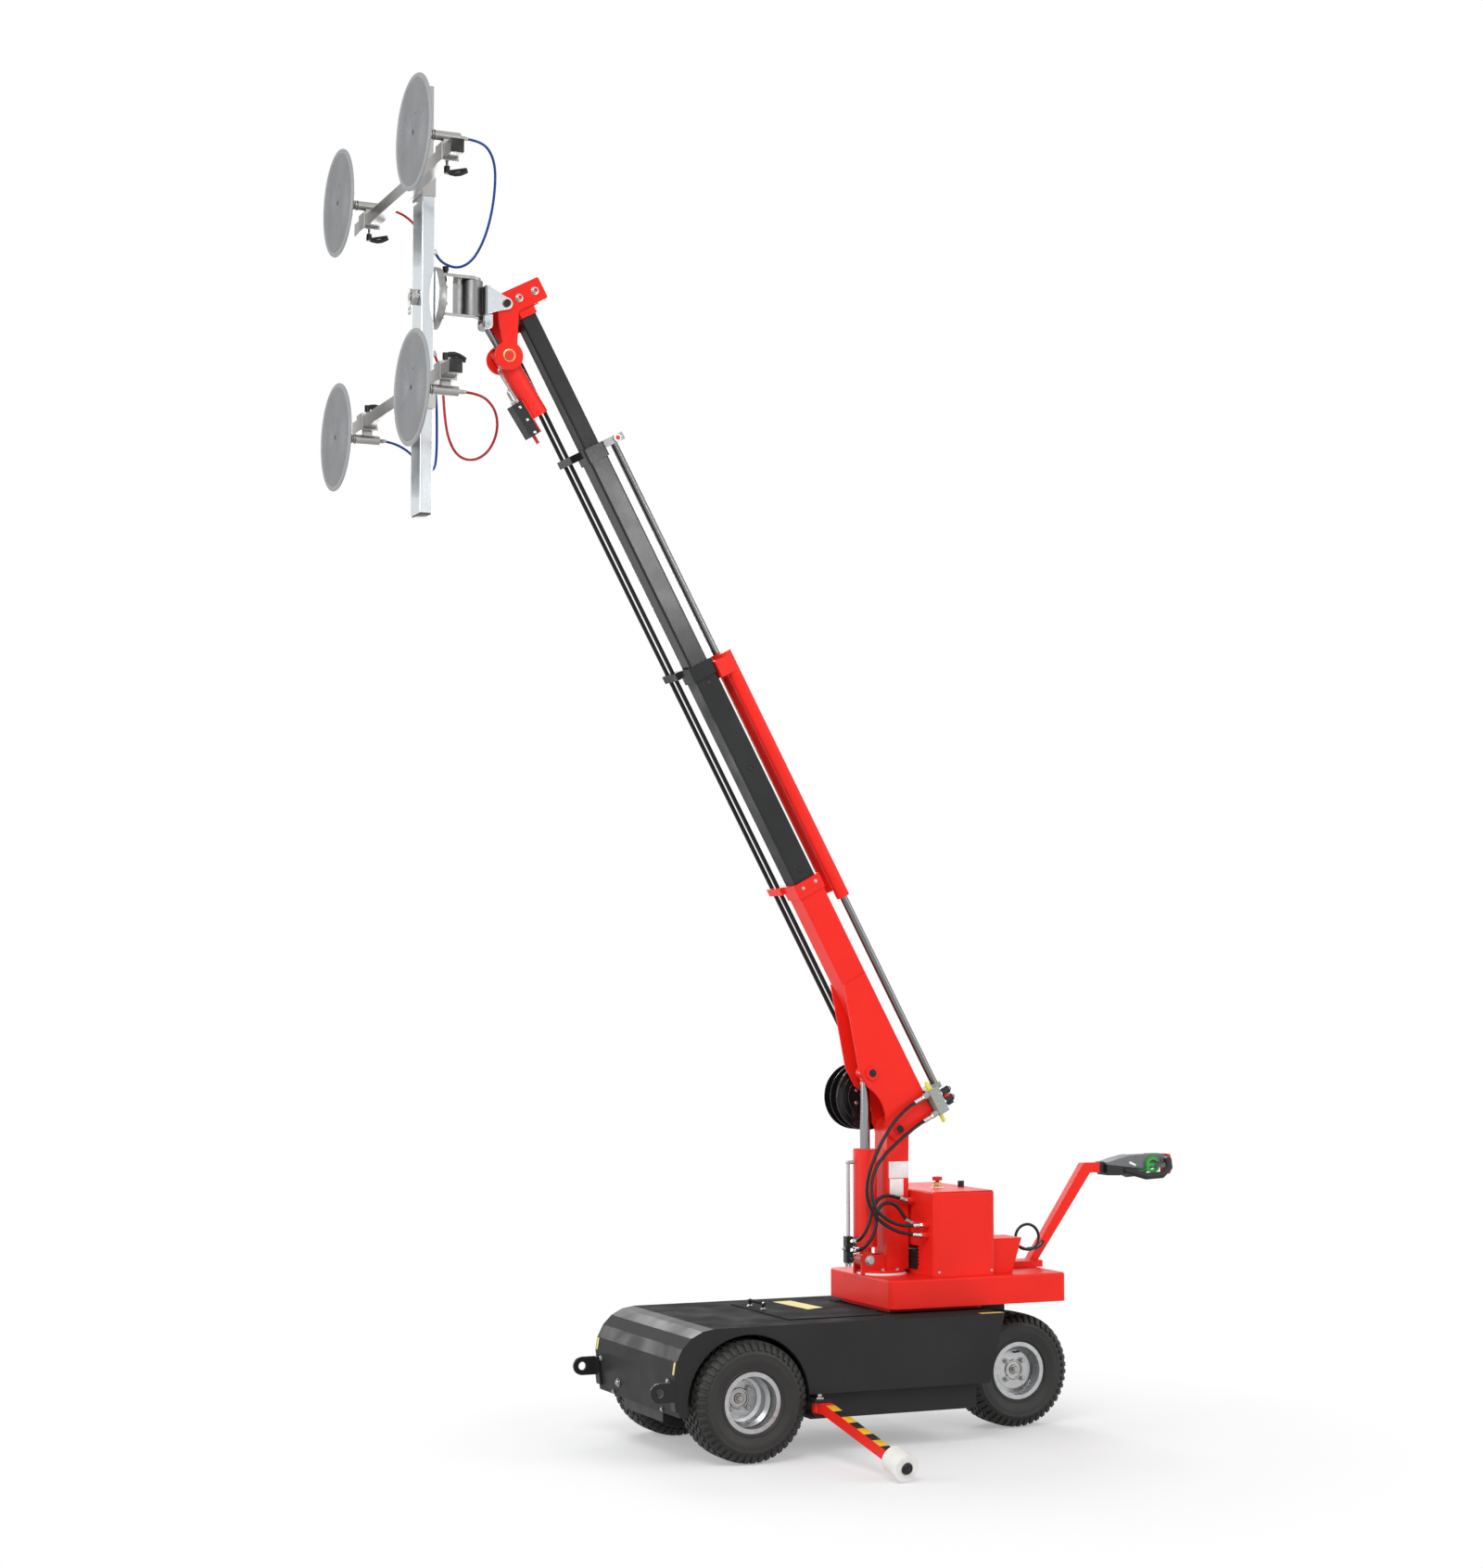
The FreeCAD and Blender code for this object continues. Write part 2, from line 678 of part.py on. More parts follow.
def hood_hatch():
    front = hatch_rear_x + hatch_len
    lid = box(hatch_rear_x, front, -hatch_w / 2, hatch_w / 2, hood_z + gap, hood_z + gap + sheet)
    lid = rounded_edges(lid, hatch_lip / 2, AXIS_Z)
    knuckles, bores = [], []
    for c in (-hinge_spread / 2, hinge_spread / 2):
        y0, y1 = c - hinge_w / 2, c + hinge_w / 2
        knuckles.append(box(hinge_x, hatch_rear_x + hatch_lip, y0, y1, hood_z + gap, hood_z + gap + sheet))
        knuckles.append(rod(V(hinge_x, y0, hinge_z), V(hinge_x, y1, hinge_z), hinge_d))
        bores.append(rod(V(hinge_x, y0 - overrun, hinge_z), V(hinge_x, y1 + overrun, hinge_z), hinge_pin_d + 2 * fit))
    lid = fuse([lid] + knuckles).cut(bores)
    top = hood_z + gap + sheet
    rise = 2 * handle_d
    x = front - hatch_lip - handle_d
    ends = (hatch_handle_y - hatch_handle_len / 2, hatch_handle_y + hatch_handle_len / 2)
    handle = [rod(V(x, ends[0], top + rise), V(x, ends[1], top + rise), handle_d)]
    for y in (ends[0] + handle_d, ends[1] - handle_d):
        handle.append(rod(V(x, y, top - sheet / 2), V(x, y, top + rise), handle_d))
    return fuse([lid] + handle)


def chassis_frame():
    tray = box(tray_rear_x, tray_front_x, -tray_w / 2, tray_w / 2, tray_z, tray_top_z)
    spine = box(tray_front_x - overrun, nose_foot_x - 2 * plate, -spine_w / 2, spine_w / 2, tray_z, spine_top_z)
    reach = front_track / 2 + front_disc_y
    axle = rod(V(front_axle_x, -reach, axle_z), V(front_axle_x, reach, axle_z), stub_d)
    posts = []
    for y in (-tray_w / 3, tray_w / 3):
        for x in (tray_rear_x + 3 * plate, tray_front_x - 3 * plate):
            posts.append(block(x, y, (tray_top_z + hood_z - sheet) / 2, 2 * plate, 4 * plate, hood_z - sheet - tray_top_z))
    brackets = []
    for side in (-1, 1):
        y0 = side * tray_w / 2
        y1 = side * (outrigger_y + bracket_plate_w / 2)
        for z in (outrigger_z - outrigger_tube / 2 - gap - bracket_plate_t, outrigger_z + outrigger_tube / 2 + gap):
            brackets.append(
                box(
                    outrigger_x - bracket_plate_w / 2,
                    outrigger_x + bracket_plate_w / 2,
                    min(y0, y1),
                    max(y0, y1),
                    z,
                    z + bracket_plate_t,
                )
            )
        foot_y = side * (tray_w / 2 - plate / 2)
        brackets.append(
            block(outrigger_x, foot_y, outrigger_z, bracket_plate_w, plate, outrigger_tube + 2 * bracket_plate_t + 2 * gap)
        )
        brackets.append(
            box(
                tray_front_x - overrun,
                outrigger_x + bracket_plate_w / 2,
                foot_y - plate / 2,
                foot_y + plate / 2,
                outrigger_z - outrigger_tube / 2 - gap - bracket_plate_t,
                tray_top_z,
            )
        )
        pin_top = outrigger_z + outrigger_tube / 2 + gap + bracket_plate_t + pin_head_t
        pin_low = outrigger_z - outrigger_tube / 2 - gap - bracket_plate_t
        y = side * outrigger_y
        brackets.append(rod(V(outrigger_x, y, pin_low), V(outrigger_x, y, pin_top), outrigger_pin_d))
    return fuse([tray, spine, axle] + posts + brackets)


def battery_pack():
    cells = []
    room = tray_front_x - tray_rear_x - 10 * plate
    length = room / batteries - battery_gap
    for i in range(batteries):
        x = tray_rear_x + 5 * plate + (i + 0.5) * room / batteries
        cell = block(x, 0, tray_top_z + battery_h / 2, length, tray_w / 2, battery_h)
        cells.append(rounded_edges(cell, battery_gap / 2, AXIS_Z))
    return group(cells)


def deck():
    outer = box(deck_rear_x, deck_front_x, -deck_w / 2, deck_w / 2, deck_z, deck_top)
    outer = rounded_edges(outer, deck_corner_r, AXIS_Z)
    top_edges = [e for e in outer.Edges if e.BoundBox.ZMin > deck_top - gap]
    outer = outer.makeFillet(deck_edge_r, top_edges)
    inset = 2 * sheet
    inner = box(
        deck_rear_x + inset, deck_front_x - inset, -deck_w / 2 + inset, deck_w / 2 - inset, deck_z - overrun, deck_top - inset
    )
    inner = rounded_edges(inner, deck_corner_r - inset, AXIS_Z)
    plinth = box(hood_rear_x, deck_front_x - plinth_front_inset, -plinth_w / 2, plinth_w / 2, hood_z, deck_top - inset / 2)
    boss = rod(V(rear_axle_x, 0, deck_z), V(rear_axle_x, 0, deck_top - inset / 2), kingpin_boss_d)
    bore = rod(V(rear_axle_x, 0, deck_z - overrun), V(rear_axle_x, 0, deck_top + overrun), kingpin_d + 2 * fit)
    bar = box(
        rear_axle_x, hood_rear_x + overrun, -kingpin_boss_d / 2, kingpin_boss_d / 2, deck_z, deck_top - inset / 2
    )
    return fuse([outer.cut(inner), plinth, boss, bar]).cut(bore)


def cover_ports():
    """Where the hoses enter the front of the cover, as (y, z) places."""
    return [
        (port_y_near, port_z_high),
        (port_y_near, port_z_low),
        (port_y_far, port_z_top),
        (port_y_mid, port_z_high),
    ]


def power_cover():
    half = cover_w / 2
    shell = box(cover_rear_x, cover_front_x, -half, half, deck_top, cover_top)
    shell = rounded_edges(shell, cover_corner_r, AXIS_Z)
    top_edges = [e for e in shell.Edges if e.BoundBox.ZMin > cover_top - gap]
    shell = shell.makeFillet(cover_corner_r / 2, top_edges)
    inner = box(
        cover_rear_x + cover_t, cover_front_x - cover_t, -half + cover_t, half - cover_t, deck_top - overrun, cover_top - cover_t
    )
    shell = shell.cut(rounded_edges(inner, cover_corner_r - cover_t, AXIS_Z))
    slots = []
    pitch = vent_h / vent_slots
    for i in range(vent_slots):
        z = vent_z + (i + 0.5) * pitch
        slots.append(block(cover_front_x, vent_w / 2, z, 4 * cover_t, vent_w, pitch / 2))
    shell = shell.cut(slots)
    collar = rod(V(estop_x, estop_y, cover_top - cover_t), V(estop_x, estop_y, cover_top + estop_collar_h), estop_collar_d)
    stem_hole = rod(
        V(estop_x, estop_y, cover_top - 4 * estop_travel),
        V(estop_x, estop_y, cover_top + estop_collar_h + overrun),
        estop_stem_d + 2 * fit,
    )
    ports = []
    for y, z in cover_ports():
        ports.append(rod(V(cover_front_x - cover_t, y, z), V(cover_front_x + port_len, y, z), port_d))
    body = fuse([shell, collar] + ports).cut(stem_hole)
    back = cover_rear_x - gap
    side = [(back, deck_top), (back, deck_top + tray_box_h)]
    side += [(back - tray_box_len, deck_top + tray_box_h), (back - tray_box_len + tray_box_slope, deck_top)]
    console = prism(side, tray_box_y - tray_box_w / 2, tray_box_y + tray_box_w / 2)
    return group([body, console])


def power_unit():
    x0, x1 = cover_rear_x + 6 * cover_t, cover_front_x - 12 * cover_t
    tank = box(x0, x1, -cover_w / 3, -cover_w / 8, deck_top, deck_top + cover_h * 0.62)
    pump = box(x0, x1, -cover_w / 8, cover_w / 12, deck_top, deck_top + cover_h * 0.36)
    axis_z = deck_top + cover_h * 0.2
    x = (x0 + x1) / 2
    motor = rod(V(x, cover_w / 12, axis_z), V(x, cover_w / 2 - 8 * cover_t, axis_z), cover_h * 0.36)
    return fuse([tank, pump, motor])


def column():
    half = column_w / 2
    flange_top = deck_top + flange_t
    flange = rod(V(flange_x, 0, deck_top), V(flange_x, 0, flange_top), flange_d)
    neck_z = pivot_z - 3 * pivot_boss_r
    outline = [(column_rear_x, flange_top - gap), (column_rear_x, neck_z), (pivot_x - pivot_boss_r, pivot_z)]
    outline += [(pivot_x + pivot_boss_r, pivot_z), (column_front_x, neck_z), (column_front_x, flange_top - gap)]
    mast = prism(outline, -half, half)
    boss = rod(V(pivot_x, -half, pivot_z), V(pivot_x, half, pivot_z), 2 * pivot_boss_r)
    hollow = box(
        column_rear_x + column_wall,
        column_front_x - column_wall,
        -half + column_wall,
        half - column_wall,
        flange_top,
        neck_z,
    )
    ears = []
    inner = lift_eye_w / 2 + gap
    for side in (-1, 1):
        y0, y1 = side * inner, side * (inner + lift_bracket_t)
        ear_top = lift_foot_z + lift_pin_d * 0.7
        ear = [(column_front_x - plate, deck_top + gap), (column_front_x - plate, ear_top)]
        ear += [(lift_x + lift_eye_d / 2, ear_top), (lift_x + lift_eye_d / 2, deck_top + gap)]
        ears.append(prism(ear, min(y0, y1), max(y0, y1)))
    reach = inner + lift_bracket_t + pin_head_t
    foot_pin = rod(V(lift_x, -reach, lift_foot_z), V(lift_x, reach, lift_foot_z), lift_pin_d)
    body = fuse([flange, mast, boss] + ears + [foot_pin]).cut(hollow)
    end = cheek_y + cheek_t + pin_head_t
    pin = rod(V(pivot_x, -end, pivot_z), V(pivot_x, end, pivot_z), pivot_d)
    return fuse([body, pin])


# Lift cylinder


def lift_barrel():
    foot = bored(V(lift_x, -lift_eye_w / 2, lift_foot_z), V(lift_x, lift_eye_w / 2, lift_foot_z), lift_eye_d, lift_pin_d + 2 * fit)
    low = lift_foot_z + lift_eye_d * 0.75
    shank = rod(V(lift_x, 0, lift_foot_z), V(lift_x, 0, low + overrun), lift_eye_w - overrun)
    barrel = rod(V(lift_x, 0, low), V(lift_x, 0, lift_barrel_top_z), lift_barrel_d)
    chamber = rod(V(lift_x, 0, low + 4 * overrun), V(lift_x, 0, lift_barrel_top_z - lift_gland_h), lift_bore)
    throat = rod(
        V(lift_x, 0, lift_barrel_top_z - lift_gland_h - overrun),
        V(lift_x, 0, lift_barrel_top_z + overrun),
        lift_rod_d + 2 * fit,
    )
    front = lift_x + lift_barrel_d / 2
    valve_low = lift_foot_z - valve_drop
    valve_x = front + valve_stand_off
    valve = box(valve_x, valve_x + valve_d, -valve_w / 2, valve_w / 2, valve_low, valve_low + valve_h)
    neck = box(front - overrun, valve_x + gap, -valve_w / 3, valve_w / 3, low + overrun, valve_low + valve_h - overrun)
    pipe_x = valve_x + valve_d / 2
    pipe_low = valve_low + valve_h - overrun
    elbow_z = lift_barrel_top_z - lift_gland_h * 1.3
    pipe = rod(V(pipe_x, 0, pipe_low), V(pipe_x, 0, elbow_z + pipe_d / 2), pipe_d)
    elbow = rod(V(front - overrun, 0, elbow_z), V(pipe_x + pipe_d / 2, 0, elbow_z), pipe_d)
    ports = []
    for i in range(3):
        z = valve_low + (i + 0.5) * valve_h / 3
        ports.append(rod(V(pipe_x, valve_w / 2 - gap, z), V(pipe_x, valve_w / 2 + port_len, z), hose_d))
    body = fuse([barrel, foot, shank, neck, valve, pipe, elbow] + ports)
    foot_bore = rod(V(lift_x, -lift_eye_w, lift_foot_z), V(lift_x, lift_eye_w, lift_foot_z), lift_pin_d + 2 * fit)
    return body.cut([chamber, throat, foot_bore])


def lift_rod():
    shaft = rod(V(lift_x, 0, lift_barrel_top_z - 4 * lift_gland_h), lift_pin, lift_rod_d)
    half = lift_eye_w / 2
    eye = rod(lift_pin - AXIS_Y * half, lift_pin + AXIS_Y * half, lift_eye_d * 0.8)
    return fuse([shaft, eye])


# Boom sections, drawn along X from the boom pivot


def hose_guide(end, inner_y):
    """A plate on the far side of a boom section with an eye for each long hose."""
    z = guide_z
    outer_y = hose_y[1] - boom_hose_d
    guide = box(end - guide_len, end, outer_y, inner_y, z - boom_hose_d, z + boom_hose_d)
    holes = []
    for y in hose_y:
        holes.append(rod(V(end - guide_len - overrun, y, z), V(end + overrun, y, z), boom_hose_d + 2 * gap))
    return guide.cut(holes)


def boom_base():
    tube = square_tube(base_foot, base_end, boom_axis_rise, base_size, base_wall)
    low = boom_axis_rise - base_size / 2
    high = boom_axis_rise + base_size / 2
    half_chord = (lift_pin_along - lift_boss_r - pivot_boss_r) / 2
    notch_r = (half_chord ** 2 + notch_depth ** 2) / (2 * notch_depth)
    notch_z = notch_depth - lift_boss_r - notch_r
    pieces = [tube]
    for side in (-1, 1):
        y0, y1 = side * (cheek_y - gap), side * (cheek_y + cheek_t)
        span = (min(y0, y1), max(y0, y1))
        outline = [(base_foot, high - tube_corner_r), (cheek_len, high - tube_corner_r), (cheek_len, low)]
        outline += [(lift_pin_along + lift_boss_r, -lift_boss_r), (0.0, -lift_boss_r)]
        outline += [(-pivot_boss_r, 0.0)]
        cheek = prism(outline, *span)
        for along, r in ((0.0, pivot_boss_r), (lift_pin_along, lift_boss_r)):
            cheek = cheek.fuse(rod(V(along, span[0], 0), V(along, span[1], 0), 2 * r))
        notch_x = pivot_boss_r + half_chord
        notch = rod(V(notch_x, span[0] - overrun, notch_z), V(notch_x, span[1] + overrun, notch_z), 2 * notch_r)
        pivot_bore = rod(V(0, span[0] - overrun, 0), V(0, span[1] + overrun, 0), pivot_d + 2 * fit)
        pieces.append(cheek.cut([notch, pivot_bore]))
        cap = rod(V(lift_pin_along, span[0], 0), V(lift_pin_along, span[1], 0), pin_head_d)
        cap = moved(cap, 0, side * pin_head_t, 0)
        pieces.append(cap)
    axle_end = reel_start_y - 2 * reel_pitch - 3 * reel_flange_t - pin_head_t
    axle_z_local = -reel_drop
    pieces.append(rod(V(reel_along, -cheek_y, axle_z_local), V(reel_along, axle_end, axle_z_local), reel_axle_d))
    plate_x = (reel_along - reel_axle_d, reel_along + reel_axle_d)
    pieces.append(box(plate_x[0], plate_x[1], -cheek_y - cheek_t, -cheek_y, axle_z_local - reel_axle_d, low))
    collar = square_tube(base_end - collar_len, base_end, boom_axis_rise, base_size + 2 * collar_t, collar_t + gap)
    pieces.append(collar)
    pieces.append(hose_guide(base_end, -base_size / 2))
    return on_boom(fuse(pieces))


def boom_valve():
    """A block that stands past the near cheek, with its hose ports below and two coil seats on top."""
    seat = boom_axis_rise + base_size / 2
    x0 = block_along - block_len / 2
    y1 = block_near_y
    body = box(x0, x0 + block_len, y1 - block_w, y1, seat, seat + block_t)
    shaft_y = ram_spread / 2
    post_x = x0 + block_len - block_post_len
    post = box(post_x, x0 + block_len, y1 - block_w, shaft_y + ram_rod_d * 0.6, seat, ram_z + ram_rod_d * 0.6)
    shaft = rod(V(x0 + block_len - gap, shaft_y, ram_z), V(base_end - ram_near_dip + ram_overlap, shaft_y, ram_z), ram_rod_d)
    ports = []
    for x in block_ports:
        ports.append(rod(V(x, block_port_y, seat + gap), V(x, block_port_y, seat - block_port_len), block_port_d))
    coil_y = y1 - block_w * 0.3
    for x in (x0 + block_len * 0.3, x0 + block_len * 0.62):
        ports.append(rod(V(x, coil_y, seat + block_t - gap), V(x, coil_y, seat + block_t + block_port_len), block_port_d))
    return on_boom(fuse([body, post, shaft] + ports))


def ram(start, end, y, gland_at_start):
    """A boom extension cylinder with its rod gland at one end."""
    barrel = rod(V(start, y, ram_z), V(end, y, ram_z), ram_barrel_d)
    if gland_at_start:
        chamber = rod(V(start + ram_gland, y, ram_z), V(end - ram_gland, y, ram_z), ram_bore)
        throat = rod(V(start - overrun, y, ram_z), V(start + ram_gland + overrun, y, ram_z), ram_rod_d + 2 * fit)
    else:
        chamber = rod(V(start + ram_gland, y, ram_z), V(end - ram_gland, y, ram_z), ram_bore)
        throat = rod(V(end - ram_gland - overrun, y, ram_z), V(end + overrun, y, ram_z), ram_rod_d + 2 * fit)
    return barrel.cut([chamber, throat])


def boom_mid():
    tube = square_tube(base_end - mid_overlap, mid_end, boom_axis_rise, mid_size, tube_wall)
    collar = square_tube(mid_end - collar_len, mid_end, boom_axis_rise, mid_size + 2 * collar_t, collar_t + gap)
    return on_boom(fuse([tube, collar, hose_guide(mid_end, -mid_size / 2)]))


def telescope_rams():
    half = ram_spread / 2
    near = ram(base_end - ram_near_dip, ram_end, half, True)
    far = ram(base_end - ram_far_dip, ram_end, -half, False)
    seat = boom_axis_rise + mid_size / 2 + collar_t
    x0 = mid_end - ram_bracket_len
    saddle = box(x0, mid_end - collar_len / 3, -half - ram_barrel_d / 2, half + ram_barrel_d / 2, seat, ram_z)
    bores = []
    for y in (-half, half):
        bores.append(rod(V(x0 - overrun, y, ram_z), V(mid_end + overrun, y, ram_z), ram_barrel_d - gap))
    return on_boom(fuse([near, far, saddle.cut(bores)]))


def boom_inner():
    tube = square_tube(mid_end - inner_overlap, inner_end, boom_axis_rise, inner_size, tube_wall)
    collar = square_tube(inner_end - collar_len, inner_end, boom_axis_rise, inner_size + 2 * collar_t, collar_t + gap)
    half = ram_spread / 2
    seat = boom_axis_rise + inner_size / 2
    lug_y = (-half - ram_rod_d, ram_rod_d / 2)
    lug = box(inner_end - collar_len / 2, inner_end, lug_y[0], lug_y[1], seat, ram_z + ram_rod_d)
    shaft = rod(V(inner_end - collar_len / 2, -half, ram_z), V(ram_end - ram_overlap, -half, ram_z), ram_rod_d)
    return on_boom(fuse([tube, collar, lug, shaft, hose_guide(inner_end, -inner_size / 2)]))


def boom_tip():
    return on_boom(square_tube(inner_end - tip_overlap, tip_end, boom_axis_rise, tip_size, tube_wall))


# Head: bracket on the boom tip, tilt cylinder, yoke, yaw frame and index knob


def head_bracket():
    high = bracket_along + bracket_len / 2
    low = bracket_along - bracket_len / 2
    pieces = []
    for side in (-1, 1):
        y0, y1 = side * bracket_y, side * (bracket_y + bracket_t)
        span = (min(y0, y1), max(y0, y1))
        bar = rounded_edges(box(low, high, span[0], span[1], bracket_low, bracket_top), tube_corner_r, AXIS_Y)
        leg = [(low, boom_axis_rise - tip_size / 2), (high, bracket_low + bracket_t)]
        leg += [(trunnion_along + trunnion_r, -trunnion_drop), (trunnion_along - trunnion_r / 2, -trunnion_drop / 2)]
        round_end = rod(V(trunnion_along, span[0], -trunnion_drop), V(trunnion_along, span[1], -trunnion_drop), 2 * trunnion_r)
        bore = rod(
            V(trunnion_along, span[0] - overrun, -trunnion_drop),
            V(trunnion_along, span[1] + overrun, -trunnion_drop),
            trunnion_d + 2 * fit,
        )
        pieces.append(fuse([bar, prism(leg, *span), round_end]).cut(bore))
        for rise in (bracket_top - bracket_len * 0.42, boom_axis_rise - bracket_t):
            head = rod(V(bracket_along, y1, rise), V(bracket_along, y1 + side * pin_head_t, rise), yoke_pin_d)
            pieces.append(head)
    half = tip_size / 2
    cap = box(tip_end, high - bracket_t, -bracket_y, bracket_y, boom_axis_rise - half, boom_axis_rise + half)
    end = yoke_y + yoke_t + pin_head_t
    pin = rod(V(bracket_along, -end, yoke_pivot_rise), V(bracket_along, end, yoke_pivot_rise), yoke_pin_d)
    clip_x = tip_end - clip_inset
    clip_y = (hose_y[1] - boom_hose_d, -half)
    clip = box(clip_x, clip_x + guide_len, clip_y[0], clip_y[1], guide_z - boom_hose_d, boom_axis_rise)
    holes = []
    for y in hose_y:
        holes.append(rod(V(clip_x - overrun, y, guide_z), V(clip_x + guide_len / 2, y, guide_z), boom_hose_d + 2 * gap))
    return on_boom(fuse(pieces + [cap, pin, clip.cut(holes)]))


tilt_run = (link - trunnion).normalize()


def tilt_barrel():
    back = trunnion - tilt_run * tilt_barrel_len
    front = trunnion + tilt_run * tilt_gland
    barrel = rod(back, front, tilt_barrel_d)
    chamber = rod(back + tilt_run * tilt_gland / 2, front - tilt_run * tilt_gland, tilt_bore)
    throat = rod(front - tilt_run * (tilt_gland + overrun), front + tilt_run * overrun, tilt_rod_d + 2 * fit)
    reach = bracket_y + bracket_t + pin_head_t / 2
    pins = rod(trunnion - AXIS_Y * reach, trunnion + AXIS_Y * reach, trunnion_d)
    shoulder = rod(trunnion - AXIS_Y * (bracket_y - gap), trunnion + AXIS_Y * (bracket_y - gap), trunnion_d * 1.4)
    down = tilt_run.cross(AXIS_Y).normalize()
    if down.x < 0:
        down = down * -1
    seat = back + tilt_run * tilt_gland / 2
    valve = Part.makeBox(tilt_valve_len, tilt_valve_w, tilt_valve_t)
    low = -tilt_gland / 2 - tilt_valve_drop
    valve.translate(V(low, -tilt_valve_w / 2, tilt_barrel_d / 2 - overrun))
    nozzle = rod(V(low - tilt_tip_len, 0, 0), V(low + overrun, 0, 0), tilt_tip_d)
    nozzle.translate(V(0, 0, tilt_barrel_d / 2 + tilt_valve_t / 2 - overrun))
    turned = FreeCAD.Placement(seat, FreeCAD.Rotation(tilt_run, AXIS_Y, down, "XZY"))
    pieces = []
    for piece in (valve, nozzle):
        piece.Placement = turned.multiply(piece.Placement)
        pieces.append(piece)
    return fuse([barrel, pins, shoulder] + pieces).cut([chamber, throat])


def tilt_rod():
    shaft = rod(trunnion - tilt_run * (tilt_barrel_len - 3 * tilt_gland), link, tilt_rod_d)
    eye = rod(link - AXIS_Y * link_w / 2, link + AXIS_Y * link_w / 2, 2 * link_r)
    return fuse([shaft, eye])


def tilt_yoke():
    back_x = drum_axis_x - drum_d / 2
    z0, z1 = drum_low + drum_rise / 2, drum_low + yoke_h
    pieces = [rod(V(drum_axis_x, 0, drum_low), V(drum_axis_x, 0, drum_top), drum_d)]
    pieces.append(box(back_x - yoke_t, back_x + yoke_t, -yoke_y - yoke_t, yoke_y + yoke_t, z0, z1))
    r = yoke_pin_d
    for side in (-1, 1):
        y0, y1 = side * yoke_y, side * (yoke_y + yoke_t)
        span = (min(y0, y1), max(y0, y1))
        outline = [(back_x, z0), (back_x, z1), (yoke_pivot.x, yoke_pivot.z + r), (yoke_pivot.x, yoke_pivot.z - r)]
        eye = rod(V(yoke_pivot.x, span[0], yoke_pivot.z), V(yoke_pivot.x, span[1], yoke_pivot.z), 2 * r)
        pieces.append(fuse([prism(outline, *span), eye]))
        lug_y = (side * (link_w / 2 + gap), side * (link_w / 2 + gap + yoke_t))
        lug_span = (min(lug_y), max(lug_y))
        top = z0 + yoke_t
        lug = [(link.x - link_r, top), (link.x + link_r, top), (link.x + link_r, link.z), (link.x - link_r, link.z)]
        round_end = rod(V(link.x, lug_span[0], link.z), V(link.x, lug_span[1], link.z), 2 * link_r)
        pieces.append(fuse([prism(lug, *lug_span), round_end]))
        pieces.append(rod(V(link.x, lug_y[1], link.z), V(link.x, lug_y[1] + side * pin_head_t, link.z), link_r * 1.5))
    bores = [rod(V(drum_axis_x, 0, drum_low - overrun), V(drum_axis_x, 0, drum_top + overrun), yaw_pin_d + 2 * fit)]
    bores.append(
        rod(
            V(yoke_pivot.x, -yoke_y - 2 * yoke_t, yoke_pivot.z),
            V(yoke_pivot.x, yoke_y + 2 * yoke_t, yoke_pivot.z),
            yoke_pin_d + 2 * fit,
        )
    )
    return fuse(pieces).cut(bores)


def yaw_frame():
    low, top = drum_low - gap - yaw_plate_t, drum_top + gap
    front_x = drum_axis_x + yaw_reach
    pieces = [rod(V(drum_axis_x, 0, low), V(drum_axis_x, 0, top + yaw_plate_t), yaw_pin_d)]
    for z in (low, top):
        flat = box(drum_axis_x, front_x, -yaw_w / 2, yaw_w / 2, z, z + yaw_plate_t)
        eye = rod(V(drum_axis_x, 0, z), V(drum_axis_x, 0, z + yaw_plate_t), yaw_w * 0.78)
        pieces.append(fuse([flat, eye]))
    web_x = drum_axis_x + drum_d / 2 + yaw_plate_t
    pieces.append(box(web_x, web_x + yaw_plate_t, -yaw_w / 3, yaw_w / 3, low, top))
    pieces.append(rod(V(front_x, 0, head_z), V(front_x + yaw_plate_t, 0, head_z), flange_disc_d))
    nut_x = beam_front_x + gap
    pieces.append(rod(V(front_x, 0, head_z), V(nut_x + spindle_nut_t + overrun, 0, head_z), spindle_d))
    pieces.append(rod(V(nut_x, 0, head_z), V(nut_x + spindle_nut_t, 0, head_z), spindle_nut_d))
    knob_x = front_x - knob_inset
    hole = rod(V(knob_x, 0, top - overrun), V(knob_x, 0, top + 2 * yaw_plate_t), knob_pin_d + 2 * fit)
    return fuse(pieces).cut(hole)


def index_knob():
    x = drum_axis_x + yaw_reach - knob_inset
    top = drum_top + gap + yaw_plate_t
    pin = rod(V(x, 0, top - 2 * yaw_plate_t), V(x, 0, top + knob_h), knob_pin_d)
    sleeve = rod(V(x, 0, top + gap), V(x, 0, top + knob_h), knob_d * 0.7)
    head = rod(V(x, 0, top + knob_h), V(x, 0, top + 2 * knob_h), knob_d)
    return fuse([pin, sleeve, head])


# Vacuum frame


def upright_tube(w, t, wall, z0, z1):
    outer = rounded_edges(block(beam_x, 0, (z0 + z1) / 2, t, w, z1 - z0), beam_wall, AXIS_Z)
    return outer.cut(block(beam_x, 0, (z0 + z1) / 2, t - 2 * wall, w - 2 * wall, z1 - z0 + 2 * overrun))


